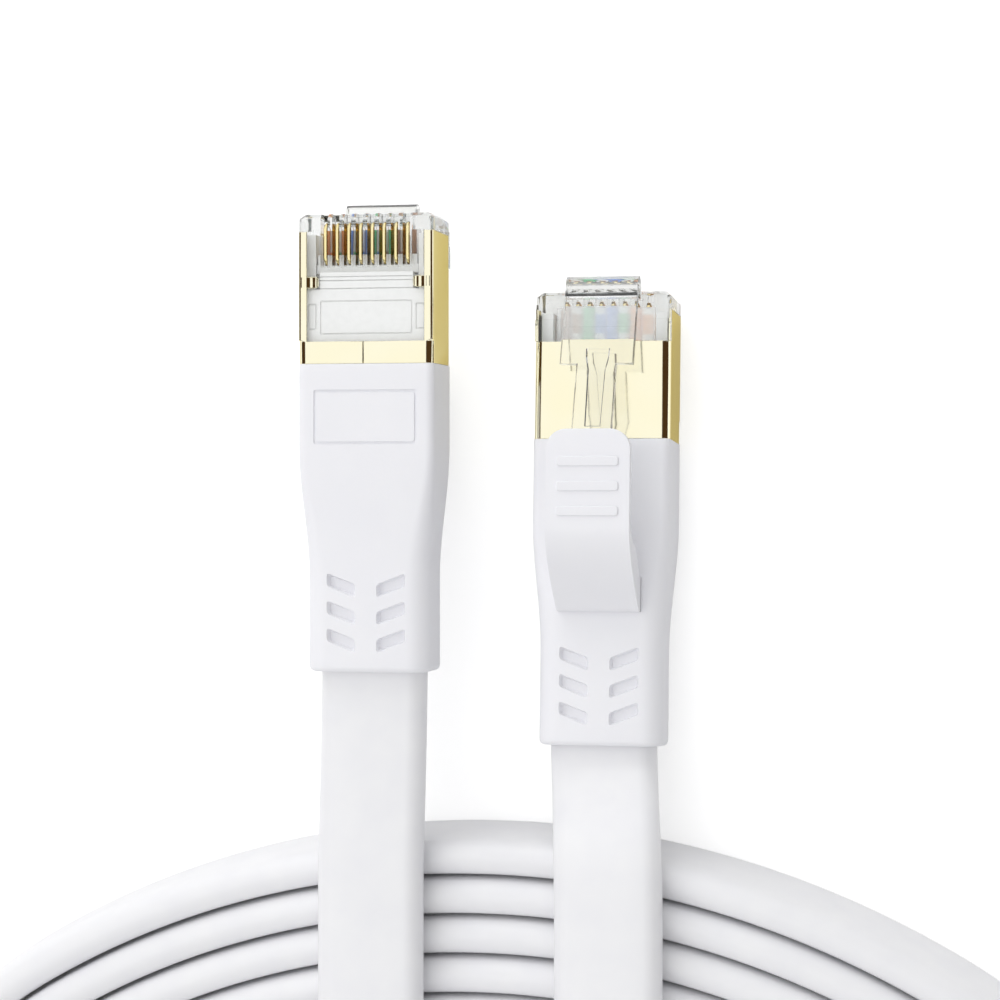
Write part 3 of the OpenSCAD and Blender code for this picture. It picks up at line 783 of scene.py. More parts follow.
def rounded(outline: Sequence[Spot], radius: float, steps: int = 4) -> list[Spot]:
    """Rounds the corners of a convex outline.

    Args:
        outline: the corners.
        radius: distance from each corner at which its rounding starts.
        steps: points across a rounding.

    Returns:
        The rounded outline.
    """
    made = []
    for i, corner in enumerate(outline):
        here = Vector(corner)
        back = (Vector(outline[i - 1]) - here).normalized() * radius
        ahead = (Vector(outline[(i + 1) % len(outline)]) - here).normalized() * radius
        for step in range(steps + 1):
            t = step / steps
            made.append(tuple(here + back * (1 - t) ** 2 + ahead * t**2))
    return made


def engraved_line(middle: Spot, size: Spot, line: float, span: Spot, radius: float) -> Piece:
    """Cutter for a thin line round a rectangle.

    Args:
        middle: u and v of the rectangle's middle.
        size: its size along u and v.
        line: width of the line.
        span: lowest and highest w of the cutter.
        radius: corner radius.

    Returns:
        The new object.
    """
    rings = []
    for inset, w in ((0, span[0]), (0, span[1]), (line, span[1]), (line, span[0])):
        a, b = size[0] / 2 - inset, size[1] / 2 - inset
        corners = rounded([(-a, -b), (a, -b), (a, b), (-a, b)], radius)
        rings.append([(middle[0] + u, middle[1] + v, w) for u, v in corners])
    return skin("line_cutter", rings, loop=True)


# ------------------------------------------------------------------ studio


@dataclass(frozen=True)
class Softbox:
    """A square lamp that faces the object and isn't seen in it.

    Attributes:
        name: the lamp's name.
        at_mm: its place.
        size_mm: its side.
        watts: its power.
    """

    name: str
    at_mm: Point
    size_mm: float
    watts: float

    def build(self) -> None:
        """Makes the lamp."""
        data = bpy.data.lights.new(self.name, "AREA")
        data.size = self.size_mm * MM
        data.energy = self.watts
        made = bpy.data.objects.new(self.name, data)
        bpy.context.scene.collection.objects.link(made)
        made.visible_glossy = False
        made.visible_transmission = False
        made.location = Vector(self.at_mm) * MM
        made.rotation_euler = made.location.to_track_quat("Z", "Y").to_euler()


@dataclass(frozen=True)
class Card:
    """A card that leans in beside the table, seen only in metal and in clear plastic.

    Attributes:
        name: the card's name.
        side: -1 for the left one, 1 for the right one.
        top_deg: how high its upper edge stands, seen from the object.
        foot: distance of its foot from the middle.
        reach: distance of its upper edge from the middle.
        span: its two ends along y.
        in_metal: sRGB hex colour in reflections.
        in_plastic: sRGB hex colour through the clear pieces.
    """

    name: str
    side: int
    top_deg: float
    foot: float = 0.42
    reach: float = 0.5
    span: Spot = (-0.2, 0.3)
    in_metal: str = "#45301A"
    in_plastic: str = "#BCBCBC"

    def build(self) -> None:
        """Makes the card."""
        top = math.radians(self.top_deg)
        foot = (self.side * self.foot, 0.0)
        head = (self.side * self.reach * math.cos(top), self.reach * math.sin(top))
        near, far = self.span
        bm = bmesh.new()
        corners = ((foot, near), (foot, far), (head, far), (head, near))
        bm.faces.new([bm.verts.new((x, y, z)) for (x, z), y in corners])
        card = piece_from_bmesh(self.name, bm)
        material = bpy.data.materials.new(self.name)
        tree = empty_tree(material)
        glossy = add_node(tree, "ShaderNodeLightPath").outputs["Is Glossy Ray"]
        # A dark brown in the metal, and a middle grey in the edges of the clear plastic
        tones = {0: glossy, 6: linear(self.in_plastic), 7: linear(self.in_metal)}
        tone = add_node(tree, "ShaderNodeMix", {"data_type": "RGBA"}, tones)
        dark = add_node(tree, "ShaderNodeEmission", inputs={"Color": tone.outputs[2]})
        add_node(tree, "ShaderNodeOutputMaterial", inputs={"Surface": dark.outputs[0]})
        card.data.materials.append(material)
        card.visible_camera = False
        card.visible_diffuse = False
        card.visible_shadow = False


@dataclass
class Studio:
    """Camera, lamps, white floor and the dark cards that the metal reflects.

    Attributes:
        camera_at_mm: the camera's place.
        aim_mm: the point that it looks at.
        lens_mm: its focal length on a sensor 36 mm wide.
        soft_sky: strength of the surround as a soft light; seen directly it is 1.
        table: sRGB hex colour of the floor's paint.
        table_glow: what the floor adds to its own light, so that it comes out white.
        glow_shares: share of that glow which metal and clear plastic see.
        half_floor: half of the floor's width.
        floor_gap: how far the floor lies below the cable.
        lamps: the softboxes.
        cards: the two cards.
    """

    camera_at_mm: Point = (47.1, -0.7, 232.1)
    aim_mm: Point = (0.85, -2.14, 8.0)
    lens_mm: float = 96.55
    soft_sky: float = 0.58
    table: str = "#E7E7E7"
    table_glow: float = 0.5
    glow_shares: tuple[tuple[str, float], ...] = (("Is Transmission Ray", 0.65), ("Is Glossy Ray", 0.72))
    half_floor: float = 1.5
    floor_gap: float = 0.0003
    lamps: tuple[Softbox, ...] = (
        Softbox("key softbox", (-330, 120, 720), 1000, 2.5),
        Softbox("front softbox", (-250, 750, 300), 700, 2.5),
        Softbox("back softbox", (-200, -700, 450), 700, 0.9),
    )
    cards: tuple[Card, ...] = (Card("card_left", -1, 55), Card("card_right", 1, 79))

    def build(self) -> None:
        """Makes the whole studio."""
        self.camera()
        self.world()
        self.floor()
        for thing in (*self.lamps, *self.cards):
            thing.build()
        bpy.context.scene.view_settings.view_transform = "Standard"

    def camera(self) -> None:
        """Makes a long lens that looks almost straight down, upright along Y."""
        data = bpy.data.cameras.new("camera")
        data.lens = self.lens_mm
        data.sensor_width = 36
        data.clip_start = 0.01
        made = bpy.data.objects.new("camera", data)
        bpy.context.scene.collection.objects.link(made)
        at = Vector(self.camera_at_mm) * MM
        back = (at - Vector(self.aim_mm) * MM).normalized()
        right = Vector((back.z, 0, -back.x)).normalized()
        up = back.cross(right)
        made.matrix_world = Matrix.Translation(at) @ Matrix((right, up, back)).transposed().to_4x4()
        bpy.context.scene.camera = made
        LOG.info("camera at %s", tuple(round(c, 4) for c in at))

    def world(self) -> None:
        """Makes a plain white surround that lights softly."""
        world = bpy.data.worlds.new("studio")
        bpy.context.scene.world = world
        tree = empty_tree(world)
        diffuse = add_node(tree, "ShaderNodeLightPath").outputs["Is Diffuse Ray"]
        lit = add_node(tree, "ShaderNodeMapRange", inputs={0: diffuse, 3: 1.0, 4: self.soft_sky})
        white = {"Color": linear("#FFFFFF"), "Strength": lit.outputs[0]}
        sky = add_node(tree, "ShaderNodeBackground", inputs=white)
        add_node(tree, "ShaderNodeOutputWorld", inputs={"Surface": sky.outputs[0]})

    def floor(self) -> None:
        """Makes a white table that glows where it is seen and still takes the shadows."""
        bm = bmesh.new()
        bmesh.ops.create_grid(bm, x_segments=1, y_segments=1, size=self.half_floor)
        plane = piece_from_bmesh("floor", bm)
        plane.location.z = -self.floor_gap
        material = bpy.data.materials.new("table white paint")
        tree = empty_tree(material)
        rays = add_node(tree, "ShaderNodeLightPath").outputs
        seen = rays["Is Camera Ray"]
        for kind, share in self.glow_shares:
            part = add_node(tree, "ShaderNodeMath", {"operation": "MULTIPLY"}, {0: rays[kind], 1: share})
            more = {0: seen, 1: part.outputs[0]}
            seen = add_node(tree, "ShaderNodeMath", {"operation": "MAXIMUM"}, more).outputs[0]
        glowing = {0: seen, 1: self.table_glow}
        strength = add_node(tree, "ShaderNodeMath", {"operation": "MULTIPLY"}, glowing)
        glow = add_node(tree, "ShaderNodeEmission", inputs={"Strength": strength.outputs[0]})
        paint = add_node(tree, "ShaderNodeBsdfDiffuse", inputs={"Color": linear(self.table)})
        both = add_node(tree, "ShaderNodeAddShader", inputs={0: glow.outputs[0], 1: paint.outputs[0]})
        add_node(tree, "ShaderNodeOutputMaterial", inputs={"Surface": both.outputs[0]})
        plane.data.materials.append(material)


# ------------------------------------------------------------------ cable

Station = tuple[float, float, float, float]


@dataclass
class CableRun:
    """The flat cable from plug to plug: two leads and an oval coil of leaning turns.

    Attributes:
        wide: width of the cable, in millimetres as all of these.
        thick: its thickness.
        turns: turns in the coil.
        pitch: distance from one turn to the next.
        lean: lean of the cable in the coil, in degrees.
        centre: the middle of the coil.
        half_y: half of the coil's width.
        side_r: radius of its long sides.
        side_angle: half of the angle of each long side's arc.
        ends: directions at which the coil starts and, turns later, stops, in degrees.
        shift: directions between which each turn steps out by one lane.
        coil_step: degrees from one point of the coil to the next.
        curve_step: distance from one point of the finished curve to the next.
        in_boot: places along each plug's axis where the cable starts.
        edge_steps: faces round each edge of the cable.
        lead_in: route from the left plug, as x, y, z and lean.
        lead_out: route from the right plug, in the same form.
    """

    wide: float = 9.2
    thick: float = 3.0
    turns: int = 6
    pitch: float = 3.38
    lean: float = 82.0
    centre: Spot = (-0.7, -77.3)
    half_y: float = 47.0
    side_r: float = 81.5
    side_angle: float = 31.0
    ends: Spot = (203.0, -12.0)
    shift: Spot = (-10.0, -155.0)
    coil_step: float = 5.0
    curve_step: float = 1.4
    in_boot: Point = (-10.0, -18.0, -26.0)
    edge_steps: int = 8
    lead_in: tuple[Station, ...] = (
        (-9.55, -21, 10.6, 0), (-9.65, -27, 10.75, 0), (-9.75, -33, 11, 0), (-9.75, -39, 11.05, 0),
        (-9.75, -45, 11.05, 0), (-9.75, -51, 10.85, 0), (-9.75, -57, 10, 4), (-9.75, -63, 8.5, 12),
        (-9.9, -69, 6.95, 26), (-10.8, -75.5, 5.7, 42), (-13, -82, 4.95, 58), (-16.8, -88, 4.75, 70),
        (-22.2, -92.7, 4.65, 77), (-28.5, -94.9, 4.65, 81),
    )
    lead_out: tuple[Station, ...] = (
        (9.6, -25, 6.35, 0), (9.83, -27, 7.3, 0), (10.15, -29, 8.8, 0), (10.46, -31, 10.3, 0),
        (10.63, -33, 10.95, 0), (10.7, -36, 11.1, 0), (10.7, -42, 11.1, 0), (10.7, -48, 11.1, 0),
        (10.7, -54, 10.95, 0), (10.6, -61, 10.4, 0), (10.5, -69, 9.9, 0), (10.5, -77, 9.9, 0),
        (10.7, -84, 10.3, 0), (12, -92.5, 10.95, 0), (16.2, -100.4, 11.1, -2), (22.5, -106.3, 11.1, -3),
        (29, -109.6, 11.1, -4), (36, -110.4, 11.1, -7), (42.9, -108.2, 10.5, -18),
        (48.6, -104, 9.1, -36), (53.4, -98.2, 7.1, -54),
    )

    def oval(self, angle: float, inset: float) -> Spot:
        """A point of the coil's four-centre oval.

        Args:
            angle: direction of the outward normal there, in degrees from +X.
            inset: distance in from the oval's outer edge.

        Returns:
            Its x and y.
        """
        offset = self.side_r - self.half_y
        reach = math.radians(self.side_angle)
        turned = (angle + 180) % 360 - 180
        if abs(abs(turned) - 90) <= self.side_angle:
            middle, radius = (0.0, math.copysign(offset, -turned)), self.side_r
        else:
            end = math.copysign(offset * math.tan(reach), 90 - abs(turned))
            middle, radius = (end, 0.0), self.side_r - offset / math.cos(reach)
        x, y = arc(middle, radius - inset, [angle])[0]
        return (self.centre[0] + x, self.centre[1] + y)

    def coil_points(self) -> list[Station]:
        """The turns from the innermost lane outwards, clockwise from above.

        Returns:
            Points as x, y, z and lean.
        """
        lean, flat = math.radians(self.lean), self.wide - self.thick
        middle_z = (flat * math.sin(lean) + self.thick) / 2
        outermost = (flat * math.cos(lean) + self.thick) / 2
        start, stop = self.ends[0], self.ends[1] - 360 * (self.turns - 1)
        begins, done = self.shift
        made = []
        steps = int((start - stop) / self.coil_step)
        for i in range(steps + 1):
            angle = start + (stop - start) * i / steps
            moved = sum(ease((begins - 360 * k - angle) / (begins - done)) for k in range(self.turns))
            x, y = self.oval(angle, outermost + self.pitch * (self.turns - 1 - moved))
            made.append((x, y, middle_z, self.lean))
        return made

    def route(self, plugs: Sequence[Plug]) -> list[Vector]:
        """All the points of the cable from the left boot to the right one.

        Args:
            plugs: the left plug and the right one.

        Returns:
            Vectors of x, y, z and lean, in millimetres and degrees.
        """
        left, right = ([(*(plug.spot(0, v, 0) / MM), 0.0) for v in self.in_boot] for plug in plugs)
        back = reversed([*right, *self.lead_out])
        points = [*left, *self.lead_in, *self.coil_points()]
        return [Vector(p) for p in points] + [Vector((x, y, z, -lean)) for x, y, z, lean in back]

    def smooth(self, points: Sequence[Vector]) -> list[Vector]:
        """A smooth curve through the points, with even steps.

        Args:
            points: vectors of x, y, z and lean.

        Returns:
            The curve's points in the same form.
        """
        gaps = [(b - a).to_3d().length for a, b in zip(points, points[1:])]
        runs = [(b - a) / gap for a, b, gap in zip(points, points[1:], gaps)]
        slopes = [runs[0]]
        for i in range(1, len(gaps)):
            slopes.append((runs[i - 1] * gaps[i] + runs[i] * gaps[i - 1]) / (gaps[i] + gaps[i - 1]))
        slopes.append(runs[-1])
        made = []
        for i, gap in enumerate(gaps):
            pieces = max(1, round(gap / self.curve_step))
            for k in range(pieces):
                t = k / pieces
                made.append(
                    points[i] * (2 * t**3 - 3 * t**2 + 1)
                    + slopes[i] * gap * (t**3 - 2 * t**2 + t)
                    + points[i + 1] * (3 * t**2 - 2 * t**3)
                    + slopes[i + 1] * gap * (t**3 - t**2)
                )
        made.append(points[-1])
        return made

    def section(self) -> list[Spot]:
        """The cable's flat section with half-round edges, as across and over.

        Returns:
            The points round the section.
        """
        flat, r = (self.wide - self.thick) / 2, self.thick / 2
        turns = [180 * step / self.edge_steps - 90 for step in range(self.edge_steps + 1)]
        half = [*arc((flat, 0.0), r, turns), (flat / 2, r)]
        return [(side * a, side * b) for side in (1, -1) for a, b in half]

    def sweep(self, curve: Sequence[Vector]) -> tuple[Piece, float]:
        """Sweeps the section along a curve, with the distance along it as u and round it as v.

        Args:
            curve: vectors of x, y, z and lean.

        Returns:
            The cable's object and its length in metres.
        """
        outline = self.section()
        count = len(outline)
        girth = 2 * (self.wide - self.thick) + math.pi * self.thick
        bm = bmesh.new()
        uv = bm.loops.layers.uv.new("cable")
        rows, travelled, far = [], [], 0.0
        for i, point in enumerate(curve):
            ahead = (curve[min(i + 1, len(curve) - 1)] - curve[max(i - 1, 0)]).to_3d().normalized()
            side = Vector((ahead.y, -ahead.x, 0)).normalized()
            up = side.cross(ahead)
            lean = math.radians(point[3])
            across = side * math.cos(lean) + up * math.sin(lean)
            over = up * math.cos(lean) - side * math.sin(lean)
            middle = point.to_3d()
            if i:
                far += (middle - curve[i - 1].to_3d()).length
            rows.append([bm.verts.new((middle + across * a + over * b) * MM) for a, b in outline])
            travelled.append(far * MM)
        for r in range(len(rows) - 1):
            for i in range(count):
                spots = ((r, i), (r, i + 1), (r + 1, i + 1), (r + 1, i))
                face = bm.faces.new([rows[row][k % count] for row, k in spots])
                for loop, (row, k) in zip(face.loops, spots):
                    loop[uv].uv = (travelled[row], k / count * girth * MM)
        bm.faces.new(rows[0])
        bm.faces.new(rows[-1])
        return piece_from_bmesh("cable", bm, 60), travelled[-1]

    def build(self, plugs: Sequence[Plug], with_pieces: Sequence[Piece]) -> None:
        """Args:
            plugs: the left plug and the right one.
            with_pieces: the pieces on the cord; not used.
        """
        curve = self.smooth(self.route(plugs))
        cable, length = self.sweep(curve)
        cable.data.materials.append(JACKET.material())
        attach(cable, "cable")
        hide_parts("lead_a", "coil", "lead_b")
        start = plugs[0].spot(0, self.in_boot[0], 0)
        LOG.info("cable is %.3f m long in %d rings", length, len(curve))


@dataclass
class Strap:
    """The woven strap that holds the coil together on its left side.

    Attributes:
        thick: thickness of the tape, in millimetres as both.
        corner: radius of the tape's outer bends.
    """

    thick: float = 0.5
    corner: float = 1.6

    def build(self) -> Piece:
        """Bends the tape round the turns.

        Returns:
            The strap's object.
        """
        low, high = (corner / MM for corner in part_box("coil_strap"))
        size = high - low
        outer = (size.x, size.z, self.corner)
        inner = (size.x - 2 * self.thick, size.z - 2 * self.thick, self.corner - self.thick)
        edges = ((outer, -1), (outer, 1), (inner, 1), (inner, -1))
        strap = skin("strap_tape", [round_ring(end * size.y / 2, *band) for band, end in edges], loop=True)
        strap.data.transform(Matrix.Translation((low + high) / 2 * MM))
        round_edges(strap, 0.12)
        strap.data.materials.append(TAPE.material())
        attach(strap, "cable")
        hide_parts("coil_strap")
        LOG.info("strap built")
        return strap


# ------------------------------------------------------------------ plugs


class Side(Enum):
    """The two plugs by the letter of their nodes."""

    LEFT = "a"
    RIGHT = "b"


@dataclass
class Plug:
    """One plug: its place in the frame, and what its pieces share.

    Attributes:
        frame: the loaded frame.
        side: which of the two plugs it is.
        latch_hinge: the latch's hinge line in the plug's own v and w.
        pad_hinge: the press pad's hinge line in the same form.
        deep: size of the plug's nose along w.
        ways: number of wires and contacts.
        pitch: distance from one contact to the next.
        place: the plug's place in the frame, worked out from its two hinges.
    """

    frame: dict[str, Any]
    side: Side
    latch_hinge: Spot = (12.9, 2.9)
    pad_hinge: Spot = (-13.2, 3.6)
    deep: float = 6.65
    ways: int = 8
    pitch: float = 1.016
    place: Matrix = field(init=False)

    def __post_init__(self) -> None:
        """Works the plug's place out from its two hinges."""
        joints = {joint["name"]: Vector(joint["pos_m"]) for joint in self.frame["joints"]}
        latch, pad = joints[self.node("latch_flex")], joints[self.node("pad_press")]
        flip = -1 if self.side is Side.LEFT else 1
        (v0, w0), (v1, w1) = self.latch_hinge, self.pad_hinge
        own, seen = Vector((v0 - v1, flip * (w0 - w1))), (latch - pad).yz
        turn = math.atan2(seen.y, seen.x) - math.atan2(own.y, own.x)
        spin = Matrix.Rotation(turn, 4, "X") @ Matrix.Diagonal((flip, 1, flip, 1))
        self.place = Matrix.Translation(latch - spin @ (Vector((0, v0, w0)) * MM)) @ spin

    def spot(self, u: float, v: float, w: float) -> Vector:
        """A point of the plug, from its own millimetres to the frame's metres."""
        return self.place @ (Vector((u, v, w)) * MM)

    def node(self, name: str) -> str:
        """The full name of one of the plug's nodes, bodies or pieces."""
        return f"{self.side.value}_{name}"

    def lanes(self, count: int) -> list[float]:
        """Places along u of count lanes, one contact pitch apart and centred."""
        return [(i - (count - 1) / 2) * self.pitch for i in range(count)]

    def settle(self, piece: Piece, finish: Finish, node: str = "", body: str = "cable") -> None:
        """Puts a piece drawn in the plug's axes in its place.

        Args:
            piece: the piece.
            finish: its finish.
            node: the node that it stands for, without the plug's letter, if any.
            body: the body that it rides on.
        """
        piece.data.transform(self.place)
        if self.place.determinant() < 0:
            piece.data.flip_normals()
        piece.data.materials.clear()
        piece.data.materials.append(finish.material())
        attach(piece, body)
        if node:
            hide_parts(self.node(node))
        LOG.info("built %s", piece.name)

    def copy_of(self, node: str) -> bmesh.types.BMesh:
        """A copy of one of the plug's nodes, in the plug's own axes.

        Args:
            node: the node's name without the plug's letter.

        Returns:
            The copy, with doubled corners merged.
        """
        source = self.frame["nodes"][self.node(node)]
        bm = bmesh.new()
        bm.from_mesh(source.data)
        bm.transform(self.place.inverted() @ source.matrix_world)
        bmesh.ops.remove_doubles(bm, verts=bm.verts, dist=COPY_WELD)
        return bm

    def dress(self, node: str, finish: Finish) -> None:
        """Gives one of the plug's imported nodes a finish.

        Args:
            node: the node's name without the plug's letter.
            finish: its finish.
        """
        mesh = self.frame["nodes"][self.node(node)].data
        mesh.materials.clear()
        mesh.materials.append(finish.material())
        LOG.info("dressed %s with %s", self.node(node), finish.name)

    def build(self) -> None:
        """Builds and dresses the whole plug."""
        for part in (Boot, PressPad, Shell, ClearBody, Contacts, LoadBar):
            part(self).build()
        plain = {"copper_cores": COPPER, "pair_foils": FOIL, "ferrule": FERRULE, "inner_mould": FILLER}
        plain.update({colour.node: colour.finish() for colour in WireColour})
        for node, finish in plain.items():
            self.dress(node, finish)


@dataclass
class PlugPart:
    """A part of a plug, drawn in the plug's axes with its sizes in millimetres.

    Attributes:
        plug: the plug that it belongs to.
    """

    plug: Plug

    def build(self) -> None:
        """Builds the part in its place."""
        raise NotImplementedError


@dataclass
class Shell(PlugPart):
    """The gold shell: a folded sleeve with two windows, a seam and two locking tabs.

    Attributes:
        wide: size of the sleeve along u.
        sheet: thickness of the brass.
        fold: radius of the sheet's folds.
        rail: shape of the folds beside the contact window: 2 is round, and more is squarer.
        long: length of the sleeve in front of the boot.
        band: v at which the contact window and its squared folds start.
        squaring: length over which the folds turn from round to square.
        latch_side: v at which the latch window starts.
        tail: width, depth and length of the narrow sleeve inside the boot.
        tail_fold: radius of its folds.
        ring_gap: distance between the two rings behind the squared folds.
        fold_steps: faces round each fold.
        seam: u of the seam, and its width.
        tab_v: middle of the tabs.
        tab_half: half of a tab's width.
        tab_thick: thickness of a tab.
        curl: a tab's way into its pocket: u, depth under the contact face and share of its width.
    """

    wide: float = 11.68
    sheet: float = 0.22
    fold: float = 0.75
    rail: float = 6.0
    long: float = 11.1
    band: float = 1.86
    squaring: float = 0.12
    latch_side: float = 8.3
    tail: Point = (10.3, 5.4, 7.0)
    tail_fold: float = 0.5
    ring_gap: float = 0.05
    fold_steps: int = 12
    seam: Spot = (0.13, 0.09)
    tab_v: float = 6.85
    tab_half: float = 0.475
    tab_thick: float = 0.16
    curl: tuple[Point, ...] = (
        (5.72, 0.10, 1), (5.62, 0.02, 1), (5.45, -0.02, 1), (5.25, 0.0, 1), (5.05, 0.09, 1), (4.88, 0.19, 1),
        (4.7, 0.22, 1), (4.5, 0.17, 1), (4.34, 0.1, 0.98), (4.22, 0.1, 0.9), (4.13, 0.17, 0.75),
        (4.09, 0.26, 0.55),
    )

    def ring(self, v: float, inset: float, squared: bool = False) -> list[Point]:
        """The sleeve's outline at one place along the plug.

        Args:
            v: the place.
            inset: distance in from the sheet's outer face.
            squared: whether the contact side's folds are squared.

        Returns:
            The points of the outline.
        """
        wide, deep = self.wide - 2 * inset, self.plug.deep - 2 * inset
        square = 2 / self.rail if squared else 1.0
        return round_ring(v, wide, deep, self.fold - inset, self.fold_steps, square)

    def tail_ring(self, v: float, inset: float) -> list[Point]:
        """The narrow sleeve's outline inside the boot."""
        wide, deep = self.tail[0] - 2 * inset, self.tail[1] - 2 * inset
        return round_ring(v, wide, deep, self.tail_fold - inset, self.fold_steps)

    def skin_of(self, inset: float, rear: float) -> list[list[Point]]:
        """One face of the sheet, from the front edge back into the boot.

        Args:
            inset: distance in from the sheet's outer face.
            rear: v of the step down to the narrow sleeve.

        Returns:
            The rings of the face.
        """
        square = [self.ring(v, inset, True) for v in (self.long, self.band + self.squaring)]
        plain = [self.ring(v, inset) for v in (self.band, self.band - self.ring_gap, rear)]
        return [*square, *plain, *(self.tail_ring(v, inset) for v in (rear, -self.tail[2]))]

    def tab(self, side: int) -> Piece:
        """One tab, folded over the contact face and curled into its pocket.

        Args:
            side: -1 or 1, the side of the plug along u.

        Returns:
            The tab's object.
        """
        rings = []
        for u, drop, share in self.curl:
            half = self.tab_half * share
            top = drop - self.plug.deep / 2
            ends = ((-half, top), (half, top), (half, top + self.tab_thick), (-half, top + self.tab_thick))
            rings.append([(side * u, self.tab_v + v, w) for v, w in ends])
        name = self.plug.node(f"shell_tab_{'left' if side < 0 else 'right'}")
        return skin(name, rings, sharp_deg=60)

    def build(self) -> None:
        """Builds the shell and its tabs in place."""
        rings = [*self.skin_of(0.0, 0.0), *reversed(self.skin_of(self.sheet, self.sheet))]
        sleeve = skin(self.plug.node("shell_sheet"), rings, loop=True)
        lip, out, back = self.wide / 2 - self.fold, self.wide, self.long + 1
        face, beyond = self.plug.deep / 2, self.plug.deep
        inside = -face + 2 * self.sheet
        cutters = [
            block((-lip, self.band, -beyond), (lip, back, inside), "window_cutter"),
            block((-out, self.latch_side, face - self.fold), (out, back, beyond), "window_cutter"),
            block((self.seam[0], -1, -beyond), (sum(self.seam), self.band + 1, inside), "seam_cutter"),
        ]
        carve(sleeve, cutters)
        round_edges(sleeve, 0.04, 50)
        self.plug.settle(sleeve, SHELL, "shield")
        for side in (-1, 1):
            tab = self.tab(side)
            round_edges(tab, 0.05, 60)
            self.plug.settle(tab, SHELL)


@dataclass
class ClearBody(PlugPart):
    """The clear polycarbonate pieces: housing, latch and the guide over the wires.

    Attributes:
        lip: half of the width of the housing's face between the shell's rails.
        wide: half of the width of its face in front of the shell's latch side.
        long: v of its nose.
        core: width and depth of the moulding inside the shell.
        shell_front: v at which the full-size front starts.
        broken: how far the nose's edges are broken.
        corner: radius of the front's corners.
        step_at: v at which the latch side steps down.
        step: depth of that step.
        slot: half of the width, rear v, front v and depth of a contact slot.
        pocket: inner u, outer u, rear v, front v and depth of a pocket for the shell's tabs.
        seat_r: radius of the hollow round the latch's root.
        seat_half: half of the hollow's width.
        rise: the latch's slope in degrees.
        rib: the rib under the latch's tongue, as v and half of its width there.
        rib_span: how far the rib reaches into the tongue and out of it.
        rib_foot: share of the rib's width that is left at its foot.
        guide_low: first corner of the wire guide.
        guide_high: its opposite corner.
    """

    lip: float = 5.05
    wide: float = 5.83
    long: float = 12.6
    core: Spot = (11.2, 6.17)
    shell_front: float = 11.15
    broken: float = 0.4
    corner: float = 0.35
    step_at: float = 10.2
    step: float = 0.3
    slot: tuple[float, ...] = (0.31, 8.1, 13.6, 1.25)
    pocket: tuple[float, ...] = (4.04, 5.4, 6.32, 7.38, 0.3)
    seat_r: float = 1.12
    seat_half: float = 3.22
    rise: float = 20.0
    rib: tuple[Spot, ...] = ((7.3, 1.15), (6.4, 1.1), (5.4, 0.85), (0.5, 0.75))
    rib_span: Spot = (0.3, -0.28)
    rib_foot: float = 0.8
    guide_low: Point = (-4.3, 8.2, 0.3)
    guide_high: Point = (4.3, 11.4, 0.6)

    def front(self) -> Piece:
        """The housing's full-size front, with its edges broken all round.

        Returns:
            The front.
        """
        low, high = -self.plug.deep / 2, self.plug.deep / 2 - self.step
        rings = []
        for v, inset in ((self.shell_front, 0.0), (self.long - self.broken, 0.0), (self.long, self.broken)):
            ring = round_ring(v, 2 * (self.wide - inset), high - low - 2 * inset, self.corner)
            rings.append([(u, at, w + (low + high) / 2) for u, at, w in ring])
        return skin(self.plug.node("housing_moulding"), rings)

    def openings(self) -> list[Piece]:
        """Cutters for the contact slots, the tabs' pockets and the hollow round the latch's root.

        Returns:
            The cutters.
        """
        face = -self.plug.deep / 2
        half, rear, nose, deep = self.slot
        cuts = []
        for u in self.plug.lanes(self.plug.ways):
            cuts.append(block((u - half, rear, face - 1), (u + half, nose, face + deep), "slot_cutter"))
        near, far, rear, nose, deep = self.pocket
        for left, right in ((-far, -near), (near, far)):
            cuts.append(block((left, rear, face - 1), (right, nose, face + deep), "pocket_cutter"))
        v0, w0 = self.plug.latch_hinge
        half, turns = self.seat_half, [11.25 * k for k in range(32)]
        cuts.append(rod(arc((v0, w0), self.seat_r, turns), half, "seat_cutter"))
        cuts.append(block((-half, v0 - 3.5, w0 - 0.05), (half, v0, w0 + 3), "room_cutter"))
        return cuts

    def housing(self) -> None:
        """The housing: a core in the shell, faces in its windows, and the open contact slots."""
        core_u, core_w, top, wide = self.core[0] / 2, self.core[1] / 2, self.plug.deep / 2, self.wide
        housing = self.front()
        joined = [
            block((-core_u, 0.25, -core_w), (core_u, 11.6, core_w), "core"),
            block((-self.lip, 1.9, -top), (self.lip, 11.8, -1), "contact_face"),
            block((-wide, 8.34, 1), (wide, self.step_at, top), "latch_face"),
            block((-wide, 9.9, 1.1), (wide, 11.5, top - self.step), "latch_step"),
        ]
        carve(housing, joined, Join.ADD)
        carve(housing, self.openings())
        round_edges(housing, 0.1, 50)
        self.plug.settle(housing, CLEAR, "housing")

    def latch(self) -> None:
        """The latch with the stiffening rib under its tongue."""
        latch = piece_from_bmesh(self.plug.node("latch_moulding"), self.plug.copy_of("latch"))
        v0, w0 = self.plug.latch_hinge
        slope = math.radians(self.rise)
        rise = math.tan(slope)
        under = w0 + 0.1 * math.cos(slope) + (v0 + 0.1 * math.sin(slope)) * rise
        rings = []
        for v, half in self.rib:
            high, low = (under - v * rise + reach for reach in self.rib_span)
            foot = half * self.rib_foot
            rings.append([(-half, v, high), (half, v, high), (foot, v, low), (-foot, v, low)])
        carve(latch, [skin("rib", rings)], Join.ADD)
        round_edges(latch, 0.1, 50)
        self.plug.settle(latch, CLEAR, "latch", self.plug.node("latch"))

    def guide(self) -> None:
        """The frosted guide that holds the wires down behind the contacts."""
        guide = block(self.guide_low, self.guide_high, self.plug.node("wire_guide"))
        round_edges(guide, 0.08, 50)
        self.plug.settle(guide, FROST)

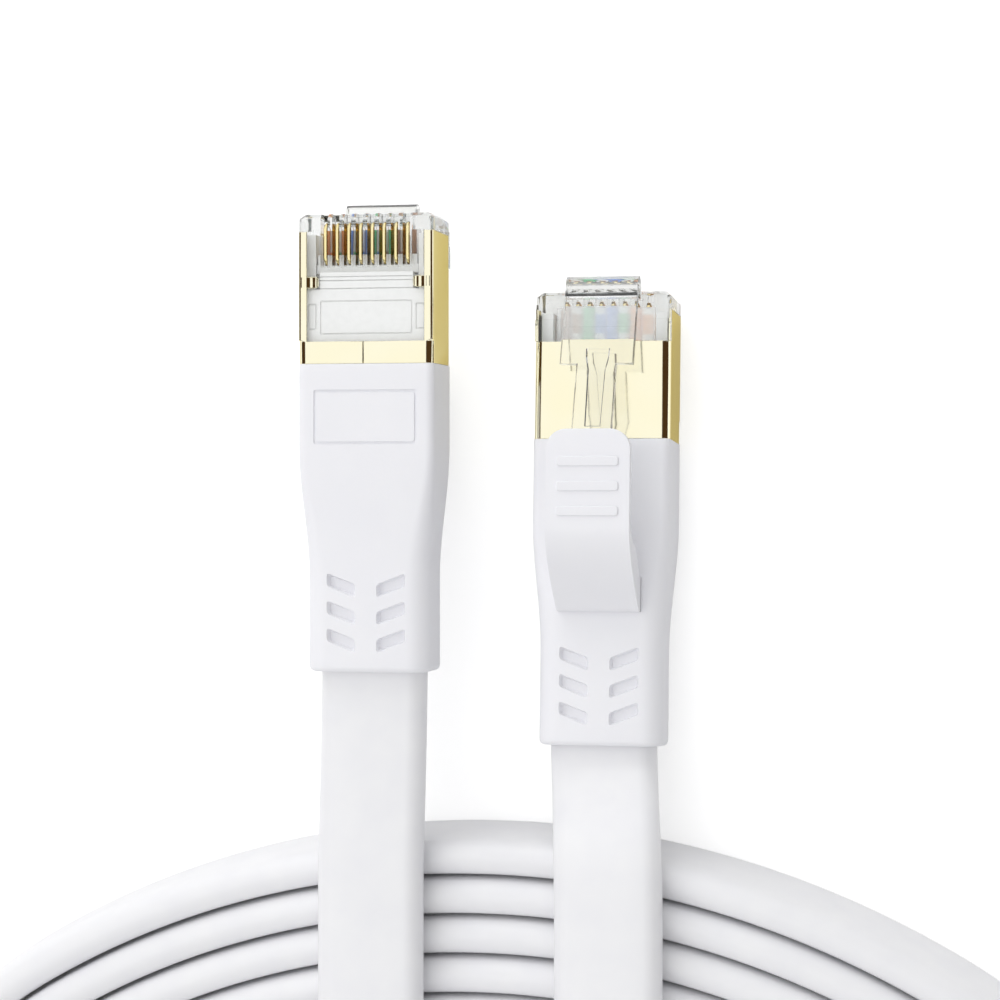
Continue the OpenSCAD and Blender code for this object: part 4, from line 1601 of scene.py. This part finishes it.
    def build(self) -> None:
        """Builds the clear pieces in place."""
        self.housing()
        self.latch()
        self.guide()


@dataclass
class Contacts(PlugPart):
    """The eight blades, with ends that narrow to an edge.

    Attributes:
        span: rear and front v of the blades.
        outer: w outside which the blades narrow.
        narrow: distance from an end, and share of the width that is left within it.
    """

    span: Spot = (8.4, 11.9)
    outer: float = -2.0
    narrow: tuple[Spot, ...] = ((0.05, 0.25), (0.2, 0.6))

    def build(self) -> None:
        """Builds the blades in place."""
        bm = self.plug.copy_of("contacts")
        pitch = self.plug.pitch
        for corner in bm.verts:
            u, v, w = corner.co / MM
            from_end = min(v - self.span[0], self.span[1] - v)
            share = next((left for reach, left in self.narrow if from_end < reach), 1.0)
            if share < 1 and w < self.outer:
                middle = (math.floor(u / pitch) + 0.5) * pitch
                corner.co.x = (middle + (u - middle) * share) * MM
        blades = piece_from_bmesh(self.plug.node("contact_blades"), bm)
        round_edges(blades, 0.05, 50)
        self.plug.settle(blades, BLADE, "contacts")


@dataclass
class LoadBar(PlugPart):
    """The white insert that spaces the wires, seen through the housing, with its comb.

    Attributes:
        outline: the insert's outline in u and v.
        face: w of its face on the contact side.
        back: w of its face on the latch side.
        line: width of the lines round its panels.
        line_deep: depth of all its lines.
        panels: its outlined panels, as middle and size in u and v.
        grooves: its straight lines, as first u and v and last u and v.
        arm: middle u, half of the width, rear and front v, and lowest and highest w of an arm.
        finger: a finger of the comb, as half of its width, its v and its w.
        root: the comb's root in the same form.
    """

    outline: tuple[Spot, ...] = (
        (-5.35, 0.95), (5.35, 0.95), (5.35, 6.15), (4.05, 6.3), (4.05, 7.7), (-4.05, 7.7), (-4.05, 6.3),
        (-5.35, 6.15),
    )
    face: float = -2.75
    back: float = 2.1
    line: float = 0.11
    line_deep: float = 0.16
    panels: tuple[tuple[Spot, Spot], ...] = (
        ((0, 3.89), (8.0, 2.85)), ((-4.7, 3.96), (0.8, 2.2)), ((4.7, 3.96), (0.8, 2.2)),
    )
    grooves: tuple[tuple[float, ...], ...] = (
        (-4.2, 7.28, 4.2, 7.36), (-3.9, 6.96, 4.2, 7.03), (-4.6, 6.28, 4.6, 6.36),
    )
    arm: tuple[float, ...] = (4.95, 0.5, 5, 10.9, -2.2, 1.6)
    finger: tuple[float, ...] = (0.25, 7.6, 9.2, -1.95, -1.1)
    root: tuple[float, ...] = (4.4, 7.6, 8.36, -1.96, -1.09)

    def insert(self) -> None:
        """The insert, with engraved lines and an arm on each side."""
        bar = prism(self.outline, self.face, self.back, self.plug.node("load_bar_insert"))
        low, high = self.face - 1, self.face + self.line_deep
        lines = [engraved_line(middle, size, self.line, (low, high), 0.12) for middle, size in self.panels]
        lines += [block((u0, v0, low), (u1, v1, high), "line_cutter") for u0, v0, u1, v1 in self.grooves]
        carve(bar, lines)
        at, half, v0, v1, w0, w1 = self.arm
        spots = (-at, at)
        carve(bar, [block((u - half, v0, w0), (u + half, v1, w1), "arm") for u in spots], Join.ADD)
        round_edges(bar, 0.03, 50)
        self.plug.settle(bar, INSERT, "load_bar")

    def comb(self) -> None:
        """The comb: one finger on each side of every wire, and the root that joins them."""
        bm = bmesh.new()
        fingers = [(middle, self.finger) for middle in self.plug.lanes(self.plug.ways + 1)]
        for middle, (half, v0, v1, w0, w1) in (*fingers, (0.0, self.root)):
            corners = ((-half, v0), (half, v0), (half, v1), (-half, v1))
            loft(bm, [[(middle + u, v, w) for u, v in corners] for w in (w0, w1)])
        comb = piece_from_bmesh(self.plug.node("load_bar_comb"), bm)
        round_edges(comb, 0.06, 50)
        self.plug.settle(comb, COMB)

    def build(self) -> None:
        """Builds the insert and the comb in place."""
        self.insert()
        self.comb()


@dataclass
class Boot(PlugPart):
    """The moulded boot with its strain relief slots and engraved frame.

    Attributes:
        long: length of the boot.
        front: width, depth and corner radius at its front.
        rear: the same at its rear.
        taper: distances from the front edge between which it narrows.
        stations: steps along its skin.
        rim: radius of the rear edge.
        rim_steps: faces round the rear edge.
        front_edge: radius of the front edge.
        channel: width and depth of the hole for the cable.
        throat: width and depth of the opening at its front.
        rows: rows of slots on each face.
        row_first: distance of the first row from the rear.
        row_pitch: distance from one row to the next.
        slot_gap: distance of a slot from the middle line.
        slot_long: length of a slot.
        slot_high: its size along the boot.
        slot_corner: size of its rounded corners.
        slot_slope: how far it slants, in degrees.
        slot_walls: depth, and shares of the slot's length and height there, down to its floor.
        plate: width and height of the engraved frame, and its distance from the front.
        line: width and depth of the frame's line, and its corner radius.
        groove: radius and half of the width of the groove for the press pad's root.
    """

    long: float = 26.0
    front: Point = (11.80, 6.77, 0.7)
    rear: Point = (10.7, 6.3, 1.9)
    taper: Spot = (7.0, 18.0)
    stations: int = 40
    rim: float = 0.5
    rim_steps: int = 8
    front_edge: float = 0.12
    channel: Spot = (9.4, 3.2)
    throat: Spot = (10.5, 5.5)
    rows: int = 3
    row_first: float = 2.7
    row_pitch: float = 2.32
    slot_gap: float = 0.9
    slot_long: float = 2.5
    slot_high: float = 1.15
    slot_corner: float = 0.32
    slot_slope: float = 21.0
    slot_walls: tuple[Point, ...] = ((-0.5, 1.0, 1.0), (0.0, 1.0, 1.0), (0.6, 0.84, 0.72))
    plate: Point = (8.95, 4.6, 2.2)
    line: Point = (0.24, 0.14, 0.2)
    groove: Spot = (1.53, 3.56)

    def ring(self, v: float, inset: float = 0.0) -> list[Point]:
        """The boot's outline at one place along it.

        Args:
            v: the place.
            inset: distance in from its surface.

        Returns:
            The points of the outline.
        """
        share = ease((-v - self.taper[0]) / (self.taper[1] - self.taper[0]))
        wide, deep, radius = (a + (b - a) * share for a, b in zip(self.front, self.rear))
        return round_ring(v, wide - 2 * inset, deep - 2 * inset, max(radius - inset, 0.25))

    def body(self) -> Piece:
        """The boot's skin, open inside at both ends.

        Returns:
            The plain boot.
        """
        rear, (wide, deep) = -self.long, self.channel
        rings = [round_ring(rear + reach, wide, deep, deep / 2) for reach in (6, 0.15)]
        rings.append(round_ring(rear, wide + 0.3, deep + 0.3, deep / 2))
        for k in range(self.rim_steps, 0, -1):
            a = math.radians(90 * k / self.rim_steps)
            rings.append(self.ring(rear + self.rim * (1 - math.sin(a)), self.rim * (1 - math.cos(a))))
        length = self.long - self.rim - self.front_edge
        for k in range(self.stations + 1):
            rings.append(self.ring(rear + self.rim + length * k / self.stations))
        rings += [self.ring(-0.035, 0.035), self.ring(0, self.front_edge)]
        rings += [round_ring(v, *self.throat, 0.5) for v in (0, -5)]
        return skin(self.plug.node("boot_moulding"), rings, sharp_deg=50)

    def slots(self) -> list[Piece]:
        """Cutters for the strain relief slots of both faces.

        Returns:
            The cutters.
        """
        near, far = self.slot_gap, self.slot_gap + self.slot_long
        rise = self.slot_long / 2 * math.tan(math.radians(self.slot_slope))
        half = self.slot_high / 2
        made = []
        for face in (-1, 1):
            for row in range(self.rows):
                v = -self.long + self.row_first + row * self.row_pitch
                low, high = v - rise, v + rise
                corners = ((near, low - half), (far, high - half), (far, high + half), (near, low + half))
                for s in (-1, 1):
                    made.append(self.slot_cutter([(s * u, at) for u, at in corners], face))
        return made

    def slot_cutter(self, outline: list[Spot], face: int) -> Piece:
        """Cutter for one slot, whose walls slope in towards its floor.

        Args:
            outline: the slot's corners at the surface.
            face: 1 on the latch side and -1 on the contact side.

        Returns:
            The new object.
        """
        mouth = rounded(outline, self.slot_corner)
        mid_u, mid_v = (sum(values) / 4 for values in zip(*outline))
        rings = []
        for deep, wide, high in self.slot_walls:
            w = face * self.rear[1] / 2 - face * deep
            rings.append([(mid_u + (u - mid_u) * wide, mid_v + (v - mid_v) * high, w) for u, v in mouth])
        return skin("slot_cutter", rings)

    def frame_cutter(self) -> Piece:
        """Cutter for the thin engraved frame on the contact side.

        Returns:
            The cutter.
        """
        wide, high, from_edge = self.plate
        line, deep, corner = self.line
        face = -self.front[1] / 2
        return engraved_line((0, -from_edge - high / 2), (wide, high), line, (face - 1, face + deep), corner)

    def build(self) -> None:
        """Builds the boot in its place."""
        boot = self.body()
        radius, half = self.groove
        groove = rod(arc(self.plug.pad_hinge, radius, range(0, 360, 10)), half, "groove_cutter")
        carve(boot, [*self.slots(), self.frame_cutter(), groove])
        round_edges(boot, 0.07, 40, flat=False)
        self.plug.settle(boot, BOOT, "boot")


@dataclass
class PressPad(PlugPart):
    """The pad over the latch, with its ramp, round corners and grip ribs.

    Attributes:
        wide: width of the pad.
        top: w of its upper face.
        thick: thickness of its flat part.
        front: v of its front edge.
        flat: length of its flat part.
        corner: radius of its two front corners.
        root: radius of the root that turns in the boot's groove.
        root_turns: directions round the root that its outline follows, in degrees.
        rib: length, width and height of a grip rib.
        rib_corner: size of a rib's rounded corners.
        ribs: number of grip ribs.
        rib_first: v of the first rib's rear edge.
        rib_pitch: distance from one rib to the next.
    """

    wide: float = 7.05
    top: float = 10.0
    thick: float = 0.85
    front: float = 0.25
    flat: float = 9.4
    corner: float = 1.7
    root: float = 1.5
    root_turns: range = range(133, 372, 14)
    rib: Point = (5.2, 0.83, 0.15)
    rib_corner: float = 0.3
    ribs: int = 3
    rib_first: float = -2.85
    rib_pitch: float = 2.06

    def side_view(self) -> list[Spot]:
        """The pad's outline seen from the side, as v and w.

        Returns:
            The corners of the outline.
        """
        v0, w0 = self.plug.pad_hinge
        back, under = self.front - self.flat, self.top - self.thick
        root = arc((v0, w0), self.root, self.root_turns)
        start, pull = Vector((back + 1.3, self.top)), Vector((back - 1.2, self.top - 0.05))
        shares = [k / 14 for k in range(14)]
        ramp = [tuple(start * (1 - t) ** 2 + pull * 2 * t * (1 - t) + Vector(root[0]) * t**2) for t in shares]
        return [
            (self.front, self.top), *ramp, *root, (v0 + 2.2, w0 + 0.95), (v0 + 3.0, w0 + 1.7),
            (v0 + 3.9, w0 + 2.8), (back, under - 1.7), (back + 0.8, under - 0.5), (back + 1.3, under - 0.15),
            (back + 1.9, under), (self.front, under),
        ]

    def pad(self) -> None:
        """The pad, narrowed at its front corners."""
        half, corner = self.wide / 2, self.corner
        stations = [-half + corner * (1 - math.cos(math.radians(a))) for a in range(0, 91, 9)]
        stations += [0.0] + [-u for u in reversed(stations)]
        rings = []
        for u in stations:
            beyond = max(abs(u) - (half - corner), 0.0)
            limit = self.front - corner + math.sqrt(max(corner**2 - beyond**2, 0.0))
            rings.append([(u, min(v, limit), w) for v, w in self.side_view()])
        pad = skin(self.plug.node("press_pad_moulding"), rings)
        round_edges(pad, 0.14, 40, 3, flat=False)
        self.plug.settle(pad, BOOT, "press_pad", self.plug.node("press_pad"))

    def build(self) -> None:
        """Builds the pad and its ribs in place."""
        self.pad()
        long, wide, high = self.rib
        for i in range(self.ribs):
            v = self.rib_first - i * self.rib_pitch
            outline = [(-long / 2, v), (long / 2, v), (long / 2, v + wide), (-long / 2, v + wide)]
            name = self.plug.node(f"pad_rib_{i + 1}")
            rib = prism(rounded(outline, self.rib_corner), self.top - 0.1, self.top + high, name)
            round_edges(rib, 0.1, 40, 3)
            self.plug.settle(rib, BOOT, body=self.plug.node("press_pad"))


def main() -> None:
    """Builds the studio and the cable."""
    logging.basicConfig(level=logging.INFO, format="%(message)s")
    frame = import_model()
    Studio().build()
    plugs = [Plug(frame, side) for side in Side]
    strap = Strap().build()
    CableRun().build(plugs, [strap])
    for plug in plugs:
        plug.build()


if __name__ == "__main__":
    main()
